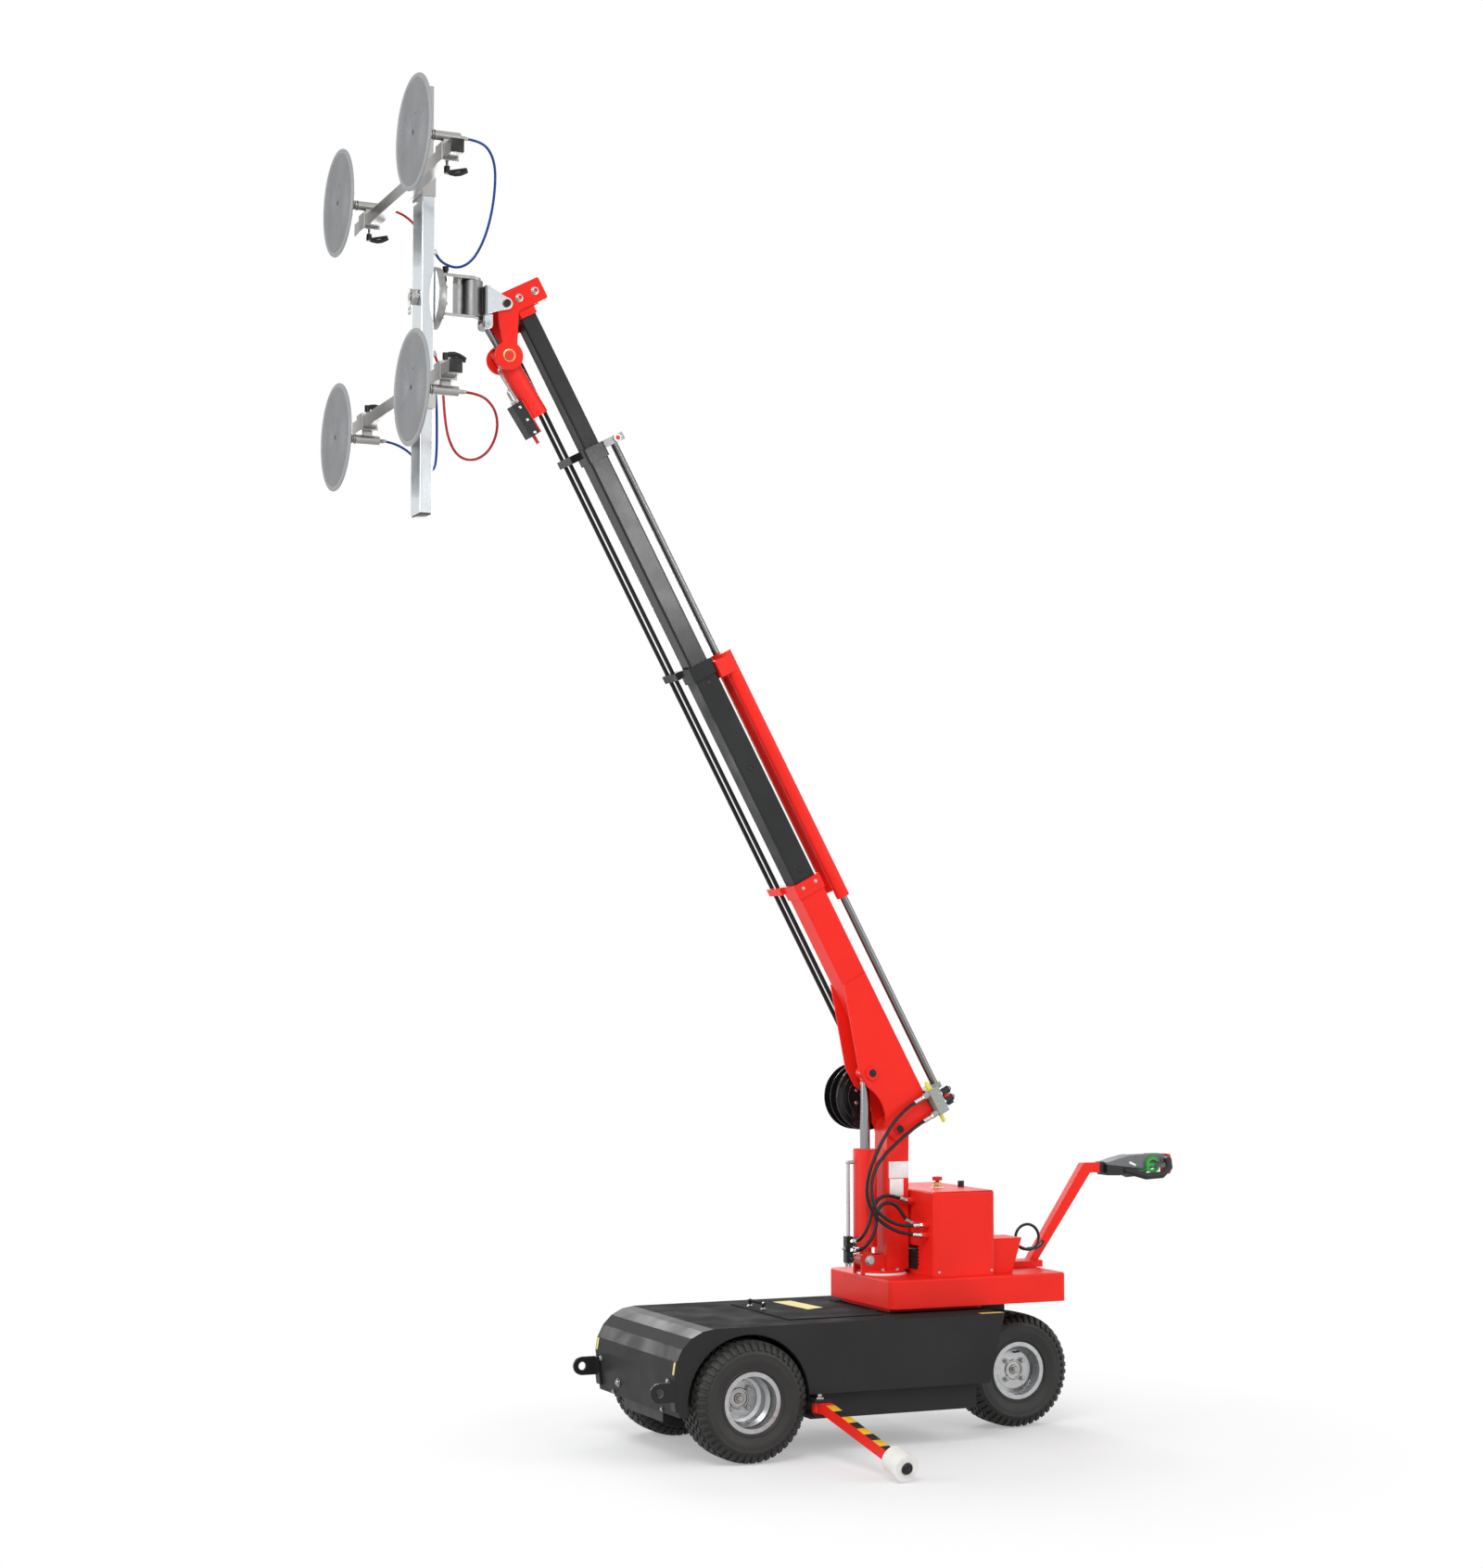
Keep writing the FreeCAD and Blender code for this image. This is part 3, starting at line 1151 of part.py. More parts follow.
def beam_main():
    tube = upright_tube(beam_w, beam_t, beam_wall, beam_low_z, beam_top_z)
    x0 = yaw_face_x + gap
    table = rod(V(x0, 0, head_z), V(x0 + turntable_t, 0, head_z), turntable_d)
    taper = Part.makeCone(turntable_d * 0.34, turntable_d / 2, turntable_t / 2, V(x0, 0, head_z), AXIS_X)
    rim_ring = rod(V(x0 + turntable_t / 2, 0, head_z), V(x0 + turntable_t, 0, head_z), turntable_d)
    table = table.common(taper.fuse(rim_ring))
    bore = rod(V(x0 - overrun, 0, head_z), V(beam_front_x + overrun, 0, head_z), spindle_d + 2 * fit)
    return fuse([tube, table]).cut(bore)


def cross_arm(z):
    """A square cross tube along Y with its plugged ends."""
    outer = block(arm_x, 0, z, arm_size, 2 * arm_half, arm_size)
    outer = rounded_edges(outer, arm_wall, AXIS_Y)
    inner = block(arm_x, 0, z, arm_size - 2 * arm_wall, 2 * (arm_half - cap_t), arm_size - 2 * arm_wall)
    return outer.cut(inner)


def saddle(w, t, z0, z1, arm_z):
    """A collar round the upright with the block that carries a cross arm."""
    wall = saddle_wall
    collar = block(beam_x, 0, (z0 + z1) / 2, t + 2 * wall, w + 2 * wall, z1 - z0)
    front = beam_x + t / 2
    seat = box(front, arm_x - arm_size / 2 + gap, -beam_w / 2, beam_w / 2, arm_z - arm_size / 2, arm_z + arm_size / 2)
    hole = block(beam_x, 0, (z0 + z1) / 2, t, w, z1 - z0 + arm_size)
    return fuse([collar, seat]).cut(hole)


mast_w = beam_w - 2 * beam_wall - 2 * slide_gap
mast_t = beam_t - 2 * beam_wall - 2 * slide_gap


def upper_arm():
    mast = upright_tube(mast_w, mast_t, beam_wall, head_z + mast_low_gap, mast_top_z)
    z0 = beam_top_z + gap
    collar = saddle(mast_w - gap, mast_t - gap, z0, z0 + saddle_h, upper_arm_z)
    return fuse([mast, collar, cross_arm(upper_arm_z)])


def lower_arm():
    z0 = lower_arm_z - saddle_h / 2
    collar = saddle(beam_w + 2 * gap, beam_t + 2 * gap, z0, z0 + saddle_h, lower_arm_z)
    return fuse([collar, cross_arm(lower_arm_z)])


def cup_carrier(side, up, arm_z):
    """A sleeve that slides on a cross arm and holds one cup stem above or below it."""
    y = side * cup_spread / 2
    sleeve = block(arm_x, y, arm_z, 2 * carrier_out, carrier_len, 2 * carrier_out)
    hole = block(arm_x, y, arm_z, arm_size + 2 * gap, carrier_len + 2 * overrun, arm_size + 2 * gap)
    stem_z = arm_z + up * stem_offset
    x0 = arm_x - stem_len / 2
    x1 = cup_face_x - cup_t - cup_hub_t
    stem = rod(V(x0, y, stem_z), V(x0 + stem_len, y, stem_z), stem_d)
    neck = rod(V(x0 + stem_len, y, stem_z), V(x1, y, stem_z), neck_d)
    web_z = (arm_z + up * carrier_out * 0.9, stem_z)
    web = box(arm_x - stem_d / 2, arm_x + stem_d / 2, y - stem_d / 3, y + stem_d / 3, min(web_z), max(web_z))
    barb = rod(V(x0 - barb_len, y, stem_z), V(x0, y, stem_z), barb_d)
    stud_z = arm_z - up * carrier_out
    stud = rod(V(arm_x, y, stud_z + up * gap), V(arm_x, y, stud_z - up * (lever_stud_h + lever_hub_h / 2)), lever_stud_d)
    return fuse([sleeve.cut(hole), stem, neck, web, barb, stud])


def cup(side, up, arm_z):
    y = side * cup_spread / 2
    z = arm_z + up * stem_offset
    x1 = cup_face_x
    x0 = x1 - cup_t
    rim_t = cup_t / 2
    cone = Part.makeCone(cup_d * 0.4, cup_d / 2, cup_t - rim_t, V(x0, y, z), AXIS_X)
    disc = rod(V(x1 - rim_t, y, z), V(x1, y, z), cup_d)
    hub = rod(V(x0 - cup_hub_t, y, z), V(x0, y, z), cup_hub_d)
    return fuse([cone, disc, hub])


def clamp_lever(side, up, arm_z):
    y = side * cup_spread / 2
    z0 = arm_z - up * (carrier_out + lever_stud_h)
    z1 = z0 - up * lever_hub_h
    hub = rod(V(arm_x, y, z0), V(arm_x, y, z1), lever_hub_d)
    bore = rod(V(arm_x, y, z0 + up * overrun), V(arm_x, y, z0 - up * (lever_hub_h / 2 + gap)), lever_stud_d + 2 * fit)
    tail = V(arm_x - lever_len, y, z1 + up * lever_rise)
    root = V(arm_x, y, z1 + up * lever_t / 2)
    handle = rod(root, tail, lever_t)
    end = Part.makeSphere(lever_t / 2, tail)
    return fuse([hub, handle, end]).cut(bore)


# Steering and tiller, round the rear wheel's king pin


def steer_fork():
    arm_y = -(tyre_w / 2 + fork_arm_t)
    crown_top = deck_z - gap
    crown_low = crown_top - crown_t
    crown = rod(V(rear_axle_x, 0, crown_low), V(rear_axle_x, 0, crown_top), crown_d)
    bridge = box(
        rear_axle_x - fork_arm_w / 2, rear_axle_x + fork_arm_w / 2, arm_y - fork_arm_t, 0, crown_low, crown_low + crown_t
    )
    arm = box(
        rear_axle_x - fork_arm_w / 2, rear_axle_x + fork_arm_w / 2, arm_y - fork_arm_t, arm_y, axle_z, crown_top - gap
    )
    end = rod(V(rear_axle_x, arm_y - fork_arm_t, axle_z), V(rear_axle_x, arm_y, axle_z), fork_arm_w)
    axle = rod(V(rear_axle_x, arm_y - fork_arm_t, axle_z), V(rear_axle_x, rear_disc_y, axle_z), stub_d)
    motor_y = arm_y - fork_arm_t
    motor = rod(V(rear_axle_x, motor_y, axle_z), V(rear_axle_x, motor_y - motor_len, axle_z), motor_d)
    pin = rod(V(rear_axle_x, 0, crown_low), V(rear_axle_x, 0, deck_top + tiller_foot_h), kingpin_d)
    return fuse([crown, bridge, arm, end, axle, motor, pin])


def tiller():
    foot_z = deck_top + gap
    foot = box(
        rear_axle_x - tiller_foot_reach - tiller_tube,
        tiller_foot_x,
        -tiller_tube - plate,
        tiller_tube + plate,
        foot_z,
        foot_z + tiller_foot_h,
    )
    bore = rod(V(rear_axle_x, 0, deck_top), V(rear_axle_x, 0, foot_z + tiller_foot_h + overrun), kingpin_d)
    foot = rounded_edges(foot, tiller_foot_h / 2, AXIS_Z).cut(bore)
    half = tiller_tube / 2
    foot_x = rear_axle_x - tiller_foot_reach
    bend_x = rear_axle_x - tiller_bend_reach
    end_x = rear_axle_x - tiller_end_reach
    low_z = foot_z + tiller_foot_h / 2
    outline = [(foot_x + half, low_z), (bend_x + half / 2, tiller_bend_z + half), (end_x, tiller_bend_z + half)]
    outline += [(end_x, tiller_bend_z - half), (bend_x - half, tiller_bend_z - half), (foot_x - half, low_z)]
    return fuse([foot, prism(outline, -half, half)])


def head_point(share, y, rise):
    """A point of the tiller head: share of its length behind the tube's end, rise above the tube's axis."""
    return V(rear_axle_x - tiller_end_reach - share * tiller_head_len, y, tiller_bend_z + rise)


def throttle_place():
    return head_point(throttle_share, 0.0, throttle_rise)


def tiller_head():
    """A tapered housing, a narrower pod behind it and a bowed hand loop on each side."""
    pieces = []
    for line, width in ((head_neck, tiller_neck_w), (head_pod, tiller_pod_w)):
        corners = [head_point(share, 0.0, rise) for share, rise in line]
        pieces.append(prism([(p.x, p.z) for p in corners], -width / 2, width / 2))
    for side in (-1, 1):
        points = [head_point(share, side * y, rise) for share, y, rise in grip_line]
        for p, q in zip(points, points[1:]):
            pieces.append(rod(p, q, grip_d))
            pieces.append(Part.makeSphere(grip_d / 2, q))
    share, y, rise = grip_line[-1]
    pieces.append(rod(head_point(share, -y, rise), head_point(share, y, rise), grip_d))
    c = throttle_place()
    hole = rod(c - AXIS_Y * tiller_neck_w, c + AXIS_Y * tiller_neck_w, throttle_d + 2 * fit)
    well_x = head_point(head_pod[2][0], 0.0, 0.0).x
    well = rod(V(well_x - overrun, 0, c.z), V(well_x + belly_len, 0, c.z), belly_stem_d + 2 * fit)
    return fuse(pieces).cut([hole, well])


def throttle_lever():
    """A thumb ring on each side of the pod, open to the rear, on one cross shaft."""
    c = throttle_place()
    pod_half = tiller_pod_w / 2
    pieces = [rod(c - AXIS_Y * (pod_half + throttle_d), c + AXIS_Y * (pod_half + throttle_d), throttle_d)]
    for side in (-1, 1):
        y0, y1 = sorted((side * (pod_half + gap), side * (pod_half + throttle_d)))
        ring = bored(V(c.x, y0, c.z), V(c.x, y1, c.z), 2 * throttle_r, 2 * (throttle_r - throttle_rim))
        mouth = box(c.x - throttle_r - overrun, c.x, y0 - overrun, y1 + overrun, c.z - throttle_d, c.z + throttle_d)
        spoke = box(c.x, c.x + throttle_r - throttle_rim / 2, y0, y1, c.z - throttle_d / 2, c.z + throttle_d / 2)
        pieces += [ring.cut(mouth), spoke]
    return fuse(pieces)


def belly_button():
    c = throttle_place()
    x0 = head_point(head_pod[2][0], 0.0, 0.0).x
    stem = rod(V(x0 - belly_len / 2, 0, c.z), V(x0 + belly_len - belly_travel - overrun, 0, c.z), belly_stem_d)
    pad = box(x0 - belly_len, x0 - belly_travel - gap, -belly_w / 2, belly_w / 2, c.z - belly_h / 2, c.z + belly_h / 2)
    return fuse([stem, rounded_edges(pad, belly_w / 4, AXIS_X)])


def estop_button():
    z = cover_top + estop_collar_h
    stem = rod(V(estop_x, estop_y, cover_top - 2 * estop_travel), V(estop_x, estop_y, z + estop_travel + gap), estop_stem_d)
    head = rod(V(estop_x, estop_y, z + estop_travel + gap), V(estop_x, estop_y, z + estop_travel + estop_head_h), estop_d)
    return fuse([stem, head.makeFillet(estop_head_h / 4, [e for e in head.Edges if e.BoundBox.ZMin > z + estop_head_h])])


def key_switch():
    z = cover_top + gap
    knob = rod(V(key_x, estop_y, z), V(key_x, estop_y, z + key_h), key_d)
    bar = block(key_x, estop_y, z + key_h + key_h / 2, key_d, key_h / 2, key_h)
    return fuse([knob, bar])


# Outriggers


def outrigger_line(side):
    """The hinge point, the knee outside the bracket and the outer end of one outrigger."""
    hinge = V(outrigger_x, side * outrigger_y, outrigger_z)
    flat = V(outrigger_reach_x, side * outrigger_reach_y, 0)
    out = V(flat.x, flat.y, 0).normalize()
    knee = hinge + out * bracket_plate_w * 0.9
    run = flat.Length - bracket_plate_w * 0.9
    end_z = roller_d / 2 + roller_lift + (outrigger_z - roller_d / 2 - roller_lift) * roller_len / (run + roller_len)
    end = V(hinge.x + flat.x, hinge.y + flat.y, end_z)
    return hinge, knee, end


def square_bar(p, q, size):
    """A square bar between two points, its sides upright."""
    run = q - p
    flat = math.hypot(run.x, run.y)
    bar = box(0, run.Length, -size / 2, size / 2, -size / 2, size / 2)
    yaw = math.degrees(math.atan2(run.y, run.x))
    pitch = math.degrees(math.atan2(-run.z, flat))
    turned = FreeCAD.Rotation(AXIS_Z, yaw).multiply(FreeCAD.Rotation(AXIS_Y, pitch))
    bar.Placement = FreeCAD.Placement(p, turned)
    return bar


def outrigger_arm(side):
    hinge, knee, end = outrigger_line(side)
    half = outrigger_tube / 2
    eye = rod(hinge - AXIS_Z * half, hinge + AXIS_Z * half, bracket_plate_w * 0.8)
    out = (knee - hinge).normalize()
    root = square_bar(hinge, knee, outrigger_tube)
    arm = square_bar(knee - out * overrun, end, outrigger_tube)
    run = (end - knee).normalize()
    axle = rod(end - run * plate, end + run * (roller_len + plate), roller_axle_d)
    bore = rod(hinge - AXIS_Z * outrigger_tube, hinge + AXIS_Z * outrigger_tube, outrigger_pin_d + 2 * fit)
    return fuse([eye, root, arm, axle]).cut(bore)


def roller(side):
    knee, end = outrigger_line(side)[1:]
    run = (end - knee).normalize()
    return bored(end + run * gap, end + run * roller_len, roller_d, roller_axle_d + 2 * fit)


# Nose hardware


def nose_front(z):
    """Where the sloping lower nose lies at a height."""
    top = hood_z - nose_r
    front = crease_x + nose_r
    return nose_foot_x + (front - nose_foot_x) * (z - nose_foot_z) / (top - nose_foot_z)


def nose_hardware():
    """A towing eye on each side and the bolts of the lower nose."""
    pieces = []
    low, high = eye_z - 2 * eye_r, eye_z + eye_r
    root = nose_front(high) + gap
    for side in (-1, 1):
        y0 = side * eye_y - eye_t / 2
        x = root + eye_stand_off
        tab = box(root, x, y0, y0 + eye_t, eye_z - eye_r, high)
        ring = rod(V(x, y0, eye_z), V(x, y0 + eye_t, eye_z), 2 * eye_r)
        hole = rod(V(x, y0 - overrun, eye_z), V(x, y0 + eye_t + overrun, eye_z), eye_bore)
        foot = [(nose_front(low) + gap, low), (root, high)]
        foot += [(root + eye_t, high), (nose_front(low) + gap + eye_t, low)]
        base_y = sorted((side * (hood_half - eye_base_w), side * hood_half))
        base = prism(foot, base_y[0], base_y[1])
        pieces.append(fuse([tab, ring, base]).cut(hole))
        for share, z, d in nose_bolts:
            p = V(nose_front(z + d / 2) + gap, side * share * hood_w, z)
            pieces.append(rod(p, p + AXIS_X * bolt_h, d))
    return group(pieces)


# Hoses, as routes chosen by hand


def boom_hoses():
    """Two long hoses from the reel along the boom to the head."""
    low = reel_along
    high = tip_end - clip_inset + guide_len / 2 - gap
    runs = [rod(V(low, y, guide_z), V(high, y, guide_z), boom_hose_d) for y in hose_y]
    return on_boom(group(runs))


def hose_reel():
    y0 = reel_start_y
    pieces = []
    for i in range(3):
        y = y0 - i * reel_pitch
        pieces.append(rod(V(reel_along, y, -reel_drop), V(reel_along, y - reel_flange_t, -reel_drop), reel_d))
    drum = 2 * (guide_z + reel_drop - boom_hose_d / 2 - gap)
    last = y0 - 2 * reel_pitch
    pieces.append(rod(V(reel_along, y0, -reel_drop), V(reel_along, last, -reel_drop), drum))
    near = -cheek_y - cheek_t - gap
    pieces.append(rod(V(reel_along, near, -reel_drop), V(reel_along, last - 2 * reel_flange_t, -reel_drop), reel_hub_d))
    bore = rod(V(reel_along, 0, -reel_drop), V(reel_along, 2 * last, -reel_drop), reel_axle_d + 2 * fit)
    return on_boom(fuse(pieces).cut(bore))


def route(start, start_way, end, end_way, bend_shares, diameter):
    """A hose route between two ports that point start_way and end_way.

    Each bend is its share along the chord and its offset in shares of the chord's length. An end that leans
    on its port stands off by the lean of its rim.
    """
    run = end - start
    points = [start]
    for along_share, x_share, y_share, z_share in bend_shares:
        points.append(start + run * along_share + V(x_share, y_share, z_share) * run.Length)
    points.append(end)
    for tip, near, way in ((0, 1, start_way), (-1, -2, end_way)):
        port = points[tip]
        for _ in range(4):
            lean = math.sin((points[near] - points[tip]).getAngle(way))
            points[tip] = port + way * (gap + diameter / 2 * lean)
    return points


def feed_routes():
    """Two hoses from the boom valve to the cover: the upper port feeds the lower socket."""
    rise = boom_axis_rise + base_size / 2 - block_port_len
    down = V(math.sin(turn), 0, -math.cos(turn))
    high, low = cover_ports()[:2]
    routes = []
    for along, (y, z), shares in zip(block_ports, (low, high), feed_bend_shares):
        start = boom_point(along, rise, block_port_y)
        routes.append(route(start, down, V(cover_front_x + port_len, y, z), AXIS_X, shares, hose_d))
    return routes


def lift_routes():
    """Two hoses from the lift cylinder's valve to the cover."""
    x = lift_x + lift_barrel_d / 2 + valve_stand_off + valve_d / 2
    routes = []
    for i, (y, z) in enumerate(cover_ports()[2:]):
        start_z = lift_foot_z - valve_drop + (2.5 - i) * valve_h / 3
        start = V(x, valve_w / 2 + port_len, start_z)
        end = V(cover_front_x + port_len, y, z)
        routes.append(route(start, AXIS_Y, end, AXIS_X, lift_bend_shares[i], hose_d))
    return routes


def cable_route():
    """The tiller's cable, from the console behind the cover to the tiller tube."""
    start_share = 0.82
    x = cover_rear_x - gap - tray_box_len + tray_box_slope * (1 - start_share)
    start = V(x, tray_box_y - tray_box_w / 8, deck_top + tray_box_h * start_share)
    rise = tiller_bend_z - deck_top - tiller_foot_h
    reach = tiller_foot_reach + (tiller_bend_reach - tiller_foot_reach) * 0.2
    end = V(rear_axle_x - reach, tiller_tube / 2, deck_top + tiller_foot_h + rise * 0.2)
    square = V(-tray_box_h, 0, -tray_box_slope).normalize()
    return route(start, square, end, AXIS_Y, cable_bend_shares, cable_d)


def vacuum_routes():
    """One hose from each cup stem to the back of the upright."""
    x0 = arm_x - stem_len / 2 - barb_len
    back = AXIS_X * -1
    routes = []
    for i, (side, up, arm_z) in enumerate(((1, 1, upper_arm_z), (-1, 1, upper_arm_z), (1, -1, lower_arm_z), (-1, -1, lower_arm_z))):
        start = V(x0, side * cup_spread / 2, arm_z + up * stem_offset)
        end_z = head_z + turntable_d * (0.73 if up > 0 else -0.9)
        end = V(beam_back_x, side * beam_w * 0.36, end_z)
        routes.append(route(start, back, end, back, vacuum_bend_shares[i], vacuum_hose_d))
    return routes


def hydraulic_hoses():
    return group([hose(points, hose_d) for points in feed_routes() + lift_routes()])


def tiller_cable():
    return hose(cable_route(), cable_d)


def vacuum_hoses():
    return group([hose(points, vacuum_hose_d) for points in vacuum_routes()])


# Assembly

parts = {
    "chassis_shell": chassis_shell(),
    "chassis_frame": chassis_frame(),
    "hood_hatch": hood_hatch(),
    "battery_pack": battery_pack(),
    "deck": deck(),
    "power_cover": power_cover(),
    "power_unit": power_unit(),
    "column": column(),
    "lift_barrel": lift_barrel(),
    "lift_rod": lift_rod(),
    "boom_base": boom_base(),
    "boom_valve": boom_valve(),
    "hose_reel": hose_reel(),
    "boom_mid": boom_mid(),
    "telescope_rams": telescope_rams(),
    "boom_inner": boom_inner(),
    "boom_tip": boom_tip(),
    "head_bracket": head_bracket(),
    "tilt_barrel": tilt_barrel(),
    "tilt_rod": tilt_rod(),
    "tilt_yoke": tilt_yoke(),
    "yaw_frame": yaw_frame(),
    "index_knob": index_knob(),
    "beam_main": beam_main(),
    "upper_arm": upper_arm(),
    "lower_arm": lower_arm(),
    "steer_fork": steer_fork(),
    "tiller": tiller(),
    "tiller_head": tiller_head(),
    "throttle_lever": throttle_lever(),
    "belly_button": belly_button(),
    "estop_button": estop_button(),
    "key_switch": key_switch(),
    "nose_hardware": nose_hardware(),
    "boom_hoses": boom_hoses(),
    "hydraulic_hoses": hydraulic_hoses(),
    "vacuum_hoses": vacuum_hoses(),
    "tiller_cable": tiller_cable(),
}
wheels = {
    "front_left": (front_axle_x, front_track / 2, 1, front_disc_y),
    "front_right": (front_axle_x, -front_track / 2, -1, front_disc_y),
    "rear": (rear_axle_x, 0.0, 1, rear_disc_y),
}
for place, (x, y, outer_side, disc_y) in wheels.items():
    parts["tyre_" + place] = at_wheel(tyre(), x, y, outer_side)
    parts["rim_" + place] = at_wheel(rim(disc_y), x, y, outer_side)
for name, side in (("left", 1), ("right", -1)):
    parts["outrigger_arm_" + name] = outrigger_arm(side)
    parts["roller_" + name] = roller(side)
    for level, up, arm_z in (("upper", 1, upper_arm_z), ("lower", -1, lower_arm_z)):
        label = level + "_" + name
        parts["cup_carrier_" + label] = cup_carrier(side, up, arm_z)
        parts["cup_" + label] = cup(side, up, arm_z)
        parts["clamp_lever_" + label] = clamp_lever(side, up, arm_z)

# The origin is on the floor under the middle of the whole machine
x_low = min(shape.BoundBox.XMin for shape in parts.values())
x_high = max(shape.BoundBox.XMax for shape in parts.values())
origin_x = (x_low + x_high) / 2
os.makedirs("parts", exist_ok=True)
for name, shape in parts.items():
    shape.translate(V(-origin_x, 0, 0))
    shape.exportStep("parts/" + name + ".step")
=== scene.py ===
from math import atan2, cos, pi, radians, sin

import bmesh
import bpy
from mathutils import Matrix, Vector as V


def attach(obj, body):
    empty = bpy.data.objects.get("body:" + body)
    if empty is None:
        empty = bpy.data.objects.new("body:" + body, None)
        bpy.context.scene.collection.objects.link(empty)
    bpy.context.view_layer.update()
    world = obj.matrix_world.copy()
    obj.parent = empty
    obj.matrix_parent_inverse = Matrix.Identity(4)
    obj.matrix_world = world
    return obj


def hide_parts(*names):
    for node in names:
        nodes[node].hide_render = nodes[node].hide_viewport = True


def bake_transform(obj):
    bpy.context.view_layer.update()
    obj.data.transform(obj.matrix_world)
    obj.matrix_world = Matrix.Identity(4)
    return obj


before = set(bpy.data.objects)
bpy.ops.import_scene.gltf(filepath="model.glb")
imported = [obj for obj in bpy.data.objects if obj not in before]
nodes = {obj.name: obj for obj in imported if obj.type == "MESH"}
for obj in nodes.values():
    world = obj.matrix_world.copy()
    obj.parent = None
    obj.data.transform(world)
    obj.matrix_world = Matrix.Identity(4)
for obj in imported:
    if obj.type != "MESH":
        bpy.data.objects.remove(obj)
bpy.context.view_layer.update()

scene = bpy.context.scene
scene.view_settings.view_transform = "Standard"
X, Y, Z = V((1, 0, 0)), V((0, 1, 0)), V((0, 0, 1))
SIDES = (-1, 1)
HANDS = (("left", 1), ("right", -1))
DATUM_X = 0.29869


def m(x, y, z):
    """A point measured along X from the machine's datum, as in the drawings of the part."""
    return V((x - DATUM_X, y, z))


def mm(*points):
    """A table of points given in millimetres."""
    return [tuple(v / 1000 for v in p) for p in points]


def add(name, data):
    """A new object in the scene."""
    o = bpy.data.objects.new(name, data)
    scene.collection.objects.link(o)
    return o


# Camera at the photograph's viewing angle
CAM_YAW, CAM_PITCH = 0.4173, 0.0714
cam_data = bpy.data.cameras.new("camera")
cam_data.lens = 63.42
cam_data.sensor_width = 36.0
cam_data.clip_end = 200.0
camera = scene.camera = add("camera", cam_data)
look = V((-sin(CAM_YAW) * cos(CAM_PITCH), -cos(CAM_YAW) * cos(CAM_PITCH), sin(CAM_PITCH)))
camera.location = m(4.9336, 9.9727, 1.7972)
camera.rotation_euler = look.to_track_quat("-Z", "Y").to_euler()

# Boom frame
BOOM_TURN = radians(61.53)
BOOM_PIVOT = m(-0.149, 0, 1.21)
boom_u = V((cos(BOOM_TURN), 0.0, sin(BOOM_TURN)))
boom_n = V((-sin(BOOM_TURN), 0.0, cos(BOOM_TURN)))
boom_axes = Matrix((boom_u, Y, boom_n)).transposed()


def on_boom(along, y, rise):
    """A point along the boom from its pivot, and square to it."""
    return BOOM_PIVOT + boom_u * along + Y * y + boom_n * rise


# Materials


class Nodes:
    """Adds nodes to a tree and joins their sockets."""

    def __init__(self, tree):
        self.tree = tree

    def put(self, socket, source):
        if isinstance(source, bpy.types.NodeSocket):
            self.tree.links.new(source, socket)
        else:
            socket.default_value = source

    def node(self, kind, inputs=None, **values):
        made = self.tree.nodes.new("ShaderNode" + kind)
        for key, value in values.items():
            setattr(made, key, value)
        for key, source in (inputs or {}).items():
            self.put(made.inputs[key], source)
        return made

    def math(self, kind, a, b=0.0):
        return self.node("Math", {0: a, 1: b}, operation=kind).outputs[0]

    def ramp(self, value, low, high, out_low=0.0, out_high=1.0):
        return self.node("MapRange", {0: value, 1: low, 2: high, 3: out_low, 4: out_high}).outputs[0]

    def seen(self):
        """1 for rays that look: from the camera, off a gloss or through a glass."""
        rays = self.node("LightPath").outputs
        share = rays["Is Camera Ray"]
        for kind in ("Is Glossy Ray", "Is Transmission Ray"):
            share = self.math("MAXIMUM", share, rays[kind])
        return share


